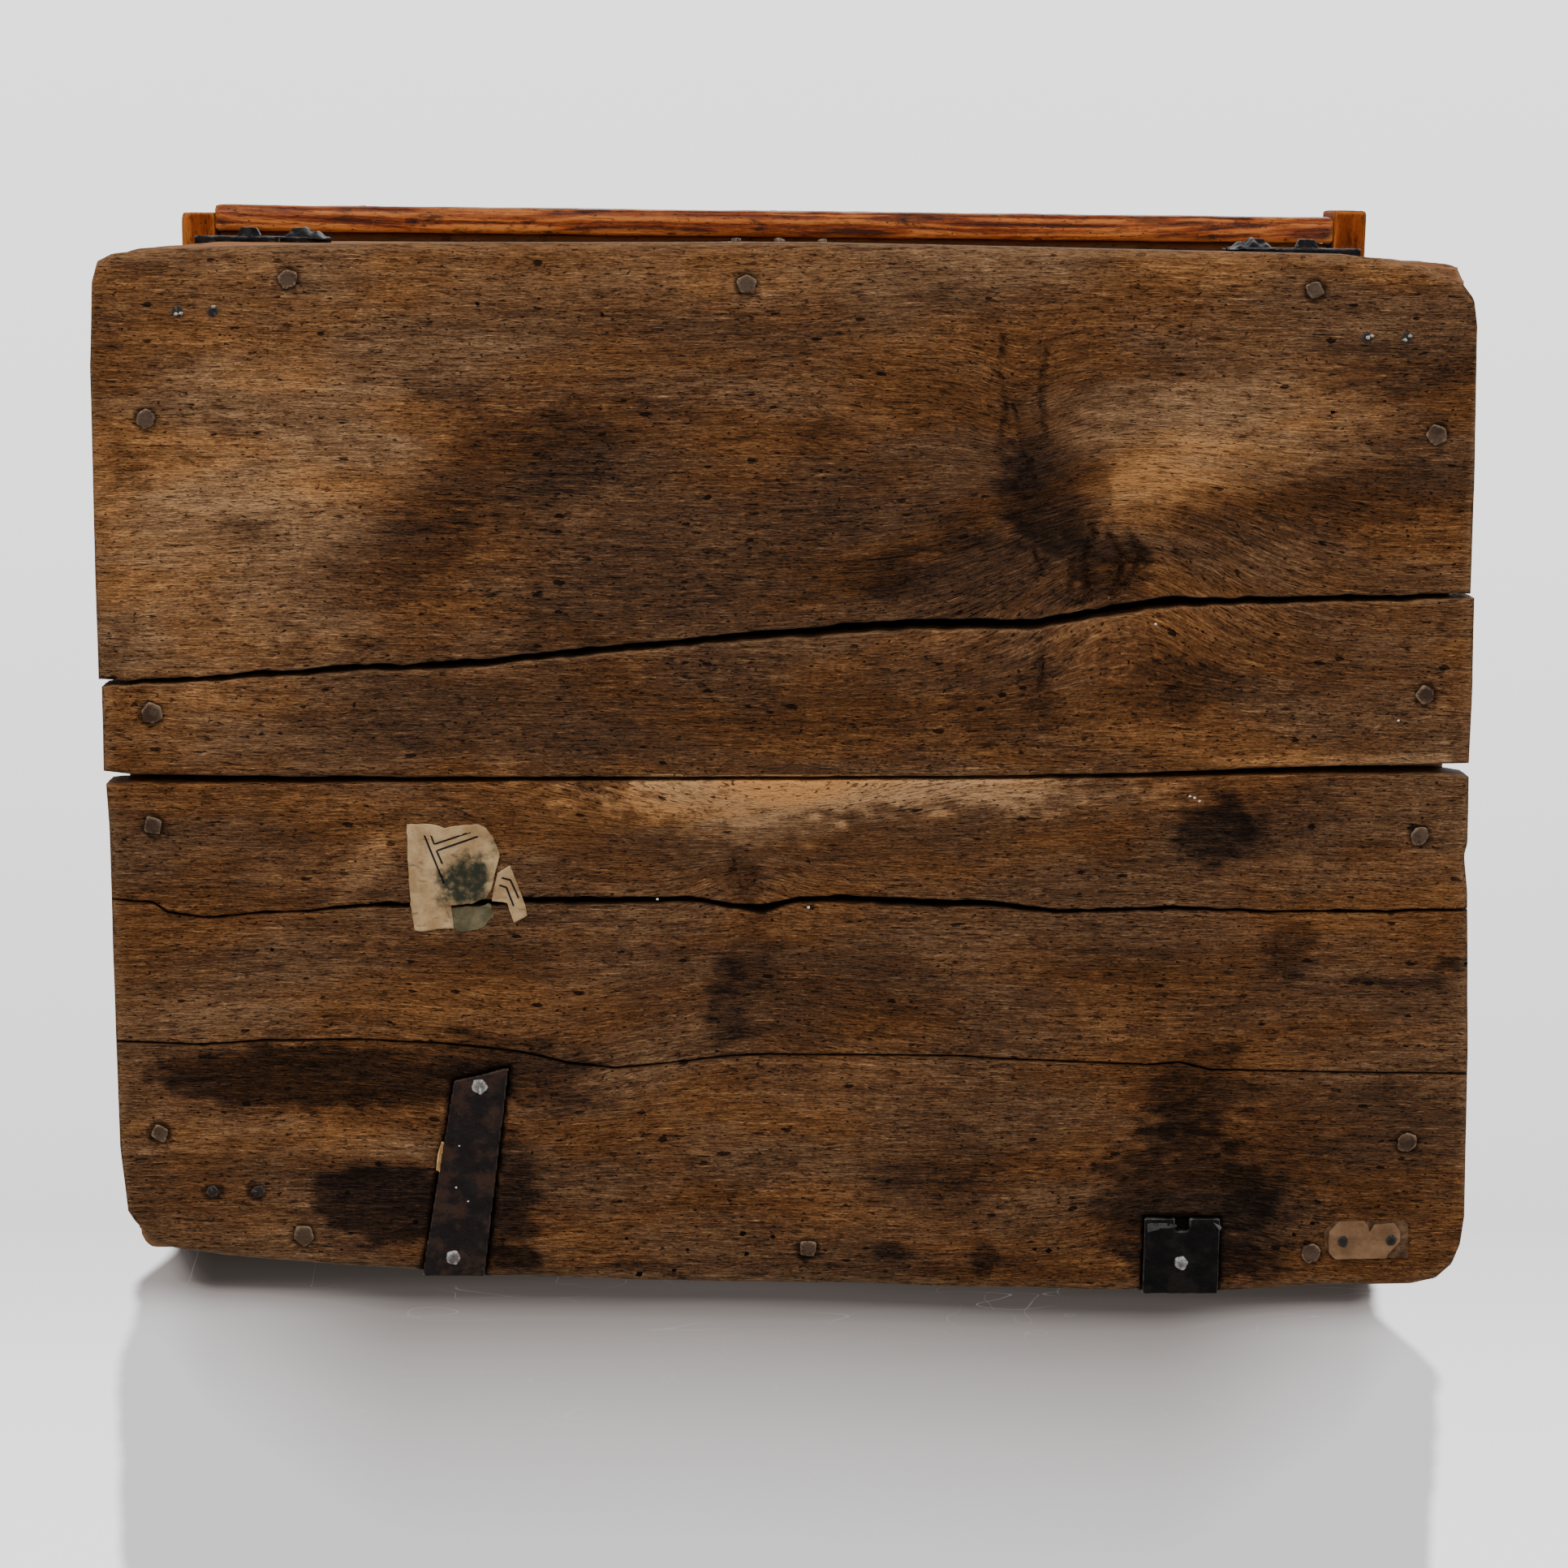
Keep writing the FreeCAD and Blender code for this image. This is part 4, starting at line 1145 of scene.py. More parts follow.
@dataclass(frozen=True)
class Underside:
    """The three boards of the bottom with their worn edges, cracks, dents, stains and painted shade.

    Edges, sides, split and gap are in millimetres about the walls' middle. The crack and the fissure
    are in pixels of the photograph. The third number of an opening is its width.
    """

    view: PhotoView
    noise: Noise
    nails: list[Pair]
    middle_y: float
    thickness: float
    step: float = 1.1 * MM
    rim: tuple[float, ...] = (0.0, 0.1 * MM, 0.3 * MM, 0.6 * MM, 1.0 * MM, 1.6 * MM, 2.4 * MM)
    end_pull: int = 12
    lip_step: float = 0.8 * MM
    least_gap: float = 0.1 * MM
    fray_length: float = 5 * MM
    sway_length: float = 16 * MM
    sway_row: float = 21.4
    lip_rows: Line = ((-1.0, 3.1), (1.0, 9.7))
    head_radius: float = 3.3 * MM
    dent_reach: float = 8 * MM
    dent_depth: float = 0.3 * MM
    head_painted_shadow: float = 0.78
    strap_depth: float = 2.0 * MM
    strap_room: float = 0.15 * MM
    strap_painted_shadow: float = 0.85
    scar_painted_shade: float = 0.9
    crack_painted_shade: float = 0.75
    ragged: tuple[Ripple, ...] = (
        Ripple(0.55, 90, 42, 3), Ripple(0.6, 40, 10, 3), Ripple(0.5, 15, 9, 2, 9.0),
    )
    clouds: Ripple = Ripple(0.16, 240, 70, 4)
    ring_sway: Ripple = Ripple(2.2, 420, 120, 2)
    furrows: Ripple = Ripple(0.14 * MM, 90, 1.4, 3)
    warp: Ripple = Ripple(0.25 * MM, 300, 160, 2)
    edge_waver: Ripple = Ripple(0.5, 26 * MM, 26 * MM, 3)
    edge_patches: Ripple = Ripple(0.35, 9 * MM, 4 * MM, 3)
    head_shadow: Pair = (0.9 * MM, 0.1 * MM)
    strap_slope: Pair = (0.9 * MM, 0.2 * MM)
    strap_shadow: Pair = (2.0 * MM, 0.3 * MM)
    crack_shadow: Pair = (0.5 * MM, 0.05 * MM)
    edge_wear: Pair = (4.5 * MM, 0.3 * MM)
    lip_wear: Pair = (1.3 * MM, 0.2 * MM)
    lip_wear_share: float = 0.4
    straps: tuple[str, ...] = ("hinge_strap_left", "hinge_strap_right")
    levels: Line = (
        (0.25, 0.0), (0.5, 0.1 * MM), (0.75, 0.0), (0.95, 0.0), (1.0, -0.8 * MM),
    )
    front_edge: Line = (
        (-203.5, -143.2), (-202.0, -148.6), (-198.0, -150.7), (-187.5, -152.0), (-159.6, -153.4),
        (-103.6, -155.0), (-47.5, -155.6), (2.9, -156.2), (46.5, -155.8), (103.1, -155.2),
        (160.0, -154.5), (181.2, -151.9), (194.2, -147.1), (198.0, -142.3), (199.1, -135.2),
    )
    back_edge: Line = (
        (-198.9, 135.7), (-196.7, 139.2), (-190.5, 145.3), (-184.9, 147.1), (-169.6, 149.4),
        (-150.7, 151.1), (-115.1, 153.5), (-90.6, 155.8), (-41.3, 156.7), (8.2, 157.3), (57.8, 158.7),
        (108.3, 159.6), (132.5, 159.8), (160.6, 157.9), (192.3, 157.3), (199.8, 155.7), (204.6, 151.1),
        (206.8, 144.6), (207.6, 135.6),
    )
    front_sides: tuple[Line, ...] = (
        ((-203.5, -143.2), (-204.6, -118.8), (-204.5, -59.9), (-204.3, -26.8)),
        ((199.1, -135.2), (200.6, -87.4), (200.9, -55.0)),
    )
    middle_sides: tuple[Line, ...] = (
        ((-203.4, -25.2), (-203.4, 0.3)),
        ((202.1, -53.3), (202.7, -29.5), (202.9, -4.3)),
    )
    back_sides: tuple[Line, ...] = (
        ((-202.8, 3.9), (-202.1, 16.8), (-201.4, 82.8), (-200.9, 114.9), (-198.9, 135.7)),
        ((203.1, -0.7), (203.5, 19.6), (202.7, 23.3), (204.2, 34.4), (206.5, 84.6), (207.6, 135.6)),
    )
    split: Opening = (
        (-203.8, -25.9, 2.2), (-194.8, -25.9, 1.4), (-137.7, -30.0, 2.0), (-90.0, -33.0, 2.2),
        (-42.2, -38.2, 2.4), (-4.0, -41.9, 2.6), (17.6, -43.8, 3.0), (41.5, -45.2, 3.2),
        (72.7, -45.5, 3.0), (90.4, -49.0, 3.2), (109.6, -52.3, 3.4), (125.4, -52.9, 2.6),
        (173.6, -54.3, 1.8), (200.9, -55.0, 1.6),
    )
    gap: Opening = (
        (-203.5, 2.4, 4.0), (-195.4, 2.6, 2.6), (-138.0, 2.7, 2.0), (-90.1, 2.1, 1.6), (-17.9, 1.4, 1.2),
        (54.5, 0.6, 1.2), (102.9, -0.4, 1.6), (151.4, -2.3, 2.4), (195.2, -3.1, 3.0), (203.0, -2.6, 4.4),
    )
    crack: Opening = (
        (120, 1108, 1.5), (190, 1113, 1.5), (206, 1124, 2), (250, 1130, 1.5), (380, 1122, 2),
        (440, 1118, 3), (480, 1115, 6), (560, 1113, 6), (650, 1110, 8), (760, 1110, 8), (850, 1108, 7),
        (900, 1117, 6), (940, 1121, 11), (985, 1108, 6), (1040, 1108, 8), (1130, 1113, 9),
        (1225, 1114, 7), (1300, 1124, 5), (1390, 1121, 4), (1460, 1119, 5), (1560, 1123, 3),
        (1640, 1123, 3), (1830, 1122, 3),
    )
    fissure: Opening = (
        (125, 1283, 1.6), (245, 1287, 1.6), (330, 1282, 1.8), (440, 1281, 1.8), (540, 1285, 1.8),
        (620, 1293, 2), (660, 1300, 2.4), (700, 1310, 2.4), (760, 1316, 2), (830, 1309, 1.6),
        (900, 1301, 1.6), (945, 1299, 1.6), (1180, 1301, 1.3), (1240, 1305, 1.3), (1415, 1312, 1.6),
        (1455, 1309, 1.8), (1490, 1318, 1.8), (1640, 1321, 1.4), (1830, 1323, 1.4),
    )

    def metres(self, points: Line) -> Array:
        """Turns points in millimetres about the walls' middle into metres of the frame."""
        return np.array([(x * MM, y * MM + self.middle_y) for x, y in points])

    def seam(self, points: Opening, waver: float, drawn: bool = False) -> list[Array]:
        """Draws the ragged lips of a joint or a crack.

        Args:
            points: Its line from left to right, and its width along it.
            waver: How ragged its lips are, in metres.
            drawn: Whether the points are pixels, from side to side of the back board.

        Returns:
            Its front lip and its back lip.
        """
        table = np.array(points)
        line, unit = self.metres(table[:, :2]), MM
        if drawn:
            line, unit = self.view.points(table[:, :2]), self.view.distance / self.view.focal_px
            for end, side in zip((0, -1), map(self.metres, self.back_sides)):
                line[end, 0] = np.interp(line[end, 1], side[:, 1], side[:, 0])
        x = np.append(np.arange(line[0, 0], line[-1, 0], self.lip_step), line[-1, 0])
        y = np.interp(x, line[:, 0], line[:, 1])
        half = np.interp(x, line[:, 0], table[:, 2] * unit) / 2
        sway = self.noise.layered(x / self.sway_length, np.full_like(x, self.sway_row), 3) * waver
        lips = []
        for side, row in self.lip_rows:
            fray = self.noise.layered(x / self.fray_length, np.full_like(x, row), 5) * waver
            lips.append(np.stack([x, y + side * np.maximum(half + fray, self.least_gap) + sway], axis=1))
        return lips

    def tails(self) -> list[Array]:
        """Finds where the hinge straps are let into the underside.

        Returns:
            Convex outline of each strap, anticlockwise.
        """
        found = []
        for node in self.straps:
            places = np.array([v.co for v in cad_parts[node].data.vertices])
            flat = np.round(places[places[:, 2] < self.strap_depth * 1.05, :2], 6)
            found.append(flat[convex_hull_2d(flat.tolist())])
        return found

    def read(self, x: Array, y: Array) -> dict[str, Array]:
        """Reads what the weathered surface is like at points of the underside.

        Args:
            x: X in metres.
            y: Y in metres.

        Returns:
            Depth of the dents in metres, tone, ring and painted shade.
        """
        u, v = self.view.pixel(x, y)
        ragged = sum(ripple.at(self.noise, u, v) for ripple in self.ragged)
        # stains, with the painted shade of the back edge and of the tack holes
        tone = sum(stain.shade(u, v, ragged) for stain in STAINS_AND_SHADE)
        tone = np.clip(tone + self.clouds.at(self.noise, u, v), -1.0, 1.0)
        bends = sum(swirl.bend(u, v) for swirl in SWIRLS)
        ring = y / MM + self.ring_sway.at(self.noise, u, v) + bends
        depth = self.furrows.at(self.noise, u, ring) + self.warp.at(self.noise, u, v)
        painted_shade_and_dirt = np.zeros_like(x)
        # painted shade in the grooves of the scars
        for scar in SCARS:
            deep = scar.reach(u + 4 * ragged, v + 3 * ragged)
            depth = depth + deep * scar.depth_mm * MM
            painted_shade_and_dirt = np.maximum(painted_shade_and_dirt, self.scar_painted_shade * deep * np.clip(0.75 + 1.2 * ragged, 0.0, 1.0))
        # painted shadow round each nail head
        for nail_x, nail_y in self.nails:
            away = np.hypot(x - nail_x, y - nail_y)
            depth = depth + self.dent_depth * ease(self.dent_reach, self.head_radius, away)
            beside = away + 0.3 * MM * ragged - self.head_radius
            painted_shade_and_dirt = np.maximum(painted_shade_and_dirt, self.head_painted_shadow * ease(*self.head_shadow, beside))
        # painted shadow along the edges of the straps
        for tail in self.tails():
            away = outside(x, y, tail)
            depth = depth + (self.strap_depth + self.strap_room) * ease(*self.strap_slope, away)
            painted_shade_and_dirt = np.maximum(painted_shade_and_dirt, self.strap_painted_shadow * ease(*self.strap_shadow, away + 0.5 * MM * ragged))
        return {"depth": depth, "tone": tone, "ring": ring, "painted_shade_and_dirt": painted_shade_and_dirt}

    def carve(self, mesh: Mesh, strip: Strip) -> None:
        """Adds the closed mesh of one strip.

        Args:
            mesh: Mesh that it goes into.
            strip: Edges of the strip.
        """
        length = np.hypot(*np.diff(strip.front, axis=0).T).sum()
        half = np.array([0.5])
        breadth = np.hypot(*(along(strip.back, half) - along(strip.front, half)).T)[0]
        columns = spread(length, self.step, self.rim)
        rows = spread(breadth, self.step, self.rim)[:, None]
        front = along(strip.front, columns)
        back = along(strip.back, columns)
        flat = front[None] + (back - front)[None] * rows[..., None]
        for end, side, share in ((0, strip.left_side, 1 - columns), (-1, strip.right_side, columns)):
            shift = np.interp(flat[:, end, 1], side[:, 1], side[:, 0]) - flat[:, end, 0]
            flat[:, :, 0] += shift[:, None] * share[None] ** self.end_pull
        x, y = flat[..., 0], flat[..., 1]
        wide = np.hypot(*(back - front).T)[None]
        to_front, to_back = rows * wide, (1 - rows) * wide
        to_end = np.broadcast_to(np.minimum(columns, 1 - columns)[None] * length, x.shape)
        worn = 1.0 + self.edge_waver.at(self.noise, x, y)
        edges = ((to_front, strip.front_roll), (to_back, strip.back_roll))
        falls = [rolled(gap, roll * worn) for gap, roll in (*edges, (to_end, strip.end_roll))]
        read = self.read(x, y)
        inner = ease(0.0, 1.5 * MM, np.minimum.reduce([to_front, to_back, to_end]))
        z = np.maximum.reduce(falls) + read.pop("depth") * (0.25 + 0.75 * inner)
        outer = [gap + FAR_OFF * (roll < strip.outer_roll) for gap, roll in edges]
        outer = np.minimum.reduce([to_end, *outer])
        lip = np.minimum(*(gap + FAR_OFF * (roll > strip.crack_roll) for gap, roll in edges))
        patchy = 0.55 + self.edge_patches.at(self.noise, x, y)
        pale_lip = self.lip_wear_share * ease(*self.lip_wear, np.minimum(to_front, to_back))
        pale_lip = pale_lip * (lip > FAR_OFF - 1.0)
        # painted shade along the lips of the cracks
        read["painted_shade_and_dirt"] = np.maximum(read["painted_shade_and_dirt"], self.crack_painted_shade * ease(*self.crack_shadow, lip))
        read["wear"] = np.clip(np.maximum(ease(*self.edge_wear, outer) * patchy, pale_lip), 0, 1)
        self.close(mesh, np.stack([x, y, z], axis=-1), read)

    def close(self, mesh: Mesh, grid: Array, values: dict[str, Array]) -> None:
        """Adds the underside grid of a strip, its edges and its inner face.

        Args:
            mesh: Mesh that they go into.
            grid: Places, a row for each line from left to right.
            values: Surface values of the grid.
        """
        deep, wide, _ = grid.shape
        number = np.arange(deep * wide).reshape(deep, wide)
        quads = facets(number[:-1, :-1], number[1:, :-1], number[1:, 1:], number[:-1, 1:])
        places = grid.reshape(-1, 3)
        flat = {name: numbers.ravel() for name, numbers in values.items()}
        first = mesh.add(places, quads, 0, **flat)
        loop = np.concatenate([number[0], number[1:, -1], number[-1, -2::-1], number[-2:0:-1, 0]])
        kept = {name: numbers[loop] for name, numbers in flat.items()}
        ring = places[loop]
        ahead = np.roll(ring, -1, axis=0) - np.roll(ring, 1, axis=0)
        out = np.stack([ahead[:, 1], -ahead[:, 0]], axis=1)
        out = out / np.maximum(np.hypot(ahead[:, 0], ahead[:, 1]), 1e-9)[:, None]
        sawn = np.zeros(len(loop), int)
        sawn[wide:wide + deep - 1] = 1
        sawn[wide + deep - 1 + wide - 1:] = 1
        below = first + loop
        for share, shift in self.levels:
            level = ring.copy()
            level[:, 2] += (self.thickness - ring[:, 2]) * share
            level[:, :2] += out * shift
            above = mesh.add(level, (), 0, **kept) + np.arange(len(loop))
            mesh.faces.extend(facets(below, np.roll(below, -1), np.roll(above, -1), above))
            mesh.slots.extend(sawn.tolist())
            below = above
        mesh.faces.append(below.tolist())
        mesh.slots.append(2)

    def build(self, paints: Paints) -> list[Piece]:
        """Builds the three boards.

        Args:
            paints: Materials by finish.

        Returns:
            The pieces.
        """
        split_front, split_back = self.seam(self.split, 0.6 * MM)
        gap_front, gap_back = self.seam(self.gap, 0.2 * MM)
        crack_front, crack_back = self.seam(self.crack, 0.45 * MM, True)
        fine_front, fine_back = self.seam(self.fissure, 0.12 * MM, True)
        front_edge, back_edge = self.metres(self.front_edge), self.metres(self.back_edge)
        sides = (self.front_sides, self.middle_sides, self.back_sides)
        front, middle, back = ([self.metres(side) for side in pair] for pair in sides)
        boards = {
            "bottom_board_front": [Strip(front_edge, split_front, *front, 3.2 * MM, 0.9 * MM)],
            "bottom_board_middle": [Strip(split_back, gap_front, *middle, 0.8 * MM, 1.0 * MM)],
            "bottom_board_back": [
                Strip(gap_back, crack_front, *back, 1.0 * MM, 0.5 * MM),
                Strip(crack_back, fine_front, *back, 0.5 * MM, 0.3 * MM),
                Strip(fine_back, back_edge, *back, 0.3 * MM, 2.6 * MM),
            ],
        }
        wood = (paints["raw"], paints["sawn_end"], paints["inside"])
        made = []
        for node, strips in boards.items():
            mesh = Mesh()
            for strip in strips:
                self.carve(mesh, strip)
            piece = mesh.piece(f"worn_{node}", wood, Body.BOX)
            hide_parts(node)
            made.append(piece)
        return made


@dataclass(frozen=True)
class NailPlace:
    """Where a nail sits: the middle of its head's outer face, its way out, its radius and its length."""

    centre: Vector
    out: Vector
    radius: float
    length: float


def nail_places(node: str) -> list[NailPlace]:
    """Reads the nails of a CAD node.

    Args:
        node: Name of the node.

    Returns:
        A place for each solid; the head is the wider end of its longest side.
    """
    found = []
    for places in islands(node):
        low, high = places.min(0), places.max(0)
        axis = int(np.argmax(high - low))
        length = high[axis] - low[axis]
        ends = []
        for end, sign in ((low[axis], -1.0), (high[axis], 1.0)):
            close = places[np.abs(places[:, axis] - end) < 0.12 * length]
            wide = np.delete(np.ptp(close, axis=0), axis).max()
            ends.append((wide, sign, close))
        wide, sign, close = max(ends, key=lambda entry: entry[0])
        centre = (close.min(0) + close.max(0)) / 2
        centre[axis] = low[axis] if sign < 0 else high[axis]
        out = Vector((0.0, 0.0, 0.0))
        out[axis] = sign
        found.append(NailPlace(Vector(centre), out, wide / 2, length))
    return found


@dataclass(frozen=True)
class ForgedNails:
    """Hand-forged nails with faceted heads, which stand for the nails of a CAD node."""

    node: str
    body: Body
    finish: str
    seed: int
    rise: float = 0.25 * MM
    dome: float = 0.0
    widen: float = 1.0
    points: int = 30
    unevenness: float = 0.16
    squareness: float = 0.7
    lean: float = 0.04
    wobble: float = 0.025
    hammered: float = 0.07
    sharp_angle: float = math.radians(28)

    def outline(self, radius: float, angle: Array, rng: np.random.Generator) -> Array:
        """Draws the uneven outline of a head with four to six sides.

        Args:
            radius: Radius of the CAD head.
            angle: Directions from its middle.
            rng: Seeded generator.

        Returns:
            Distance from the middle in each direction.
        """
        sides = int(rng.integers(4, 7))
        turned = angle + rng.uniform(0, math.tau)
        facet = np.mod(turned, math.tau / sides) - math.pi / sides
        lengths = rng.uniform(1 - self.unevenness, 1 + self.unevenness, sides)
        share = np.mod(turned, math.tau) / math.tau * sides
        stretch = np.interp(share, np.arange(sides + 1), np.append(lengths, lengths[0]))
        reach = radius * self.widen * stretch * math.cos(math.pi / sides) ** self.squareness
        return reach / np.cos(facet) ** self.squareness

    def head(self, mesh: Mesh, nail: NailPlace, rng: np.random.Generator) -> None:
        """Adds one nail.

        Args:
            mesh: Mesh that it goes into.
            nail: Where it sits.
            rng: Seeded generator.
        """
        angle = np.linspace(0, math.tau, self.points, endpoint=False)
        reach = self.outline(nail.radius, angle, rng)
        lean = rng.normal(0.0, self.lean, 2)
        side = nail.out.orthogonal().normalized()
        other = nail.out.cross(side)
        high, full = self.rise + self.dome, nail.length
        rings = (
            (0.06, -full), (0.3, -0.55 * full), (0.42, -1.5 * MM), (0.95, -1.4 * MM), (1.0, -0.3 * MM),
            (0.97, 0.25 * self.rise), (0.84, self.rise + 0.3 * self.dome),
            (0.55, self.rise + 0.75 * self.dome), (0.25, 0.97 * high),
        )
        places = []
        for width, height in rings:
            spoke = reach * width * (1.0 + rng.normal(0.0, self.wobble, self.points))
            a, b = spoke * np.cos(angle), spoke * np.sin(angle)
            tilt = (lean[0] * a + lean[1] * b) * (height > 0)
            dents = rng.normal(0, self.hammered, self.points) * self.rise * (height > 0)
            flat = np.array(nail.centre)[None] + np.outer(a, side) + np.outer(b, other)
            places.append(flat + np.outer(height + tilt + dents, nail.out))
        ring = np.arange(len(places) * self.points).reshape(-1, self.points)
        after = np.roll(ring, -1, axis=1)
        faces = facets(ring[:-1], after[:-1], after[1:], ring[1:])
        faces += facets(ring[-1], after[-1], np.full(self.points, ring.size))
        faces.append(ring[0, ::-1].tolist())
        top = np.array(nail.centre + nail.out * high)[None]
        mesh.add(np.concatenate([*places, top]), faces)

    def build(self, paints: Paints) -> list[Piece]:
        """Builds the nails of the node.

        Args:
            paints: Materials by finish.

        Returns:
            The piece that holds them all.
        """
        rng = np.random.default_rng(self.seed)
        mesh = Mesh()
        for nail in nail_places(self.node):
            self.head(mesh, nail, rng)
        piece = mesh.piece(f"forged_{self.node}", (paints[self.finish],), self.body)
        piece.data.set_sharp_from_angle(angle=self.sharp_angle)
        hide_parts(self.node)
        return [piece]


@dataclass(frozen=True)
class Sheet:
    """A thin torn sheet on the underside, drawn round pixels of the photograph."""

    outline: Line
    thickness: float
    lift: float = 0.0
    fray: float = 0.12 * MM
    curl: float = 0.0
    step: float = 0.5 * MM
    fray_mm: float = 1.6
    puff: Ripple = Ripple(0.1 * MM, 14, 14, 3)
    rings: tuple[float, ...] = (1.0, 0.97, 0.9, 0.8, 0.7, 0.6, 0.5, 0.4, 0.3, 0.2, 0.1)

    def edge(self, view: PhotoView, noise: Noise) -> Array:
        """Walks round the torn edge in small steps.

        Args:
            view: The photograph's camera.
            noise: Noise that frays the edge.

        Returns:
            Points of the edge in metres.
        """
        line = view.points(self.outline + self.outline[:1])
        run = np.hypot(*np.diff(line, axis=0).T).sum()
        walk = along(line, np.linspace(0, 1, max(12, round(run / self.step)), endpoint=False))
        x, y = walk.T / MM / self.fray_mm
        shift = np.stack([noise.layered(x + row, y, 3) for row in (3, 71)], axis=1)
        return walk + shift * self.fray

    def lay(self, mesh: Mesh, under: Underside, slot: int = 0) -> None:
        """Adds the sheet to a mesh, following the board below it.

        Args:
            mesh: Mesh that it goes into.
            under: The boards that carry it.
            slot: Material slot of the sheet.
        """
        edge = self.edge(under.view, under.noise)
        centre = edge.mean(0)
        count = len(edge)
        shares = np.append(np.repeat(self.rings, count), 0.0)
        spokes = np.concatenate([np.tile(edge, (len(self.rings), 1)), centre[None]])
        grid = centre + (spokes - centre) * shares[:, None]
        u, v = under.view.pixel(grid[:, 0], grid[:, 1])
        board = under.read(grid[:, 0], grid[:, 1])["depth"] - self.lift
        puff = self.puff.at(under.noise, u, v) - self.curl * ease(0.6, 1.0, shares)
        top = np.minimum(board - self.thickness + puff, board - 0.5 * self.thickness)
        lower = np.column_stack([grid[:count], board[:count]])
        ring = np.arange(len(self.rings) * count).reshape(-1, count)
        after = np.roll(ring, -1, axis=1)
        base = np.arange(count) + len(grid)
        faces = facets(ring[:-1], ring[1:], after[1:], after[:-1])
        faces += facets(ring[-1], np.full(count, ring.size), after[-1])
        faces += facets(base, ring[0], after[0], np.roll(base, -1))
        faces.append(base.tolist())
        mesh.add(np.concatenate([np.column_stack([grid, top]), lower]), faces, slot)


@dataclass(frozen=True)
class FootPad:
    """The one card foot that is left: two glued sheets, the upper one torn."""

    lower: Sheet = Sheet(
        ((1631, 1517), (1643, 1504), (1731, 1504), (1735, 1510), (1734, 1549), (1642, 1549), (1632, 1538)),
        0.75 * MM,
    )
    upper: Sheet = Sheet(
        ((1636, 1528), (1637, 1516), (1649, 1504), (1680, 1503), (1684, 1509), (1687, 1518), (1692, 1508),
         (1717, 1506), (1724, 1516), (1724, 1528), (1710, 1543), (1707, 1549), (1644, 1550), (1637, 1543)),
        0.7 * MM, 0.7 * MM,
    )
    lower_soot: float = 0.7
    sharp_angle: float = math.radians(40)

    def build(self, under: Underside, paints: Paints) -> list[Piece]:
        """Builds the foot.

        Args:
            under: The boards that carry it.
            paints: Materials by finish.

        Returns:
            The piece.
        """
        mesh = Mesh()
        self.lower.lay(mesh, under)
        mesh.values["painted_shade_and_dirt"] = [(0, np.full(mesh.count, self.lower_soot))]
        self.upper.lay(mesh, under)
        piece = mesh.piece("worn_foot_pad", (paints["card"],), Body.BOX)
        piece.data.set_sharp_from_angle(angle=self.sharp_angle)
        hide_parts("foot_pad")
        return [piece]


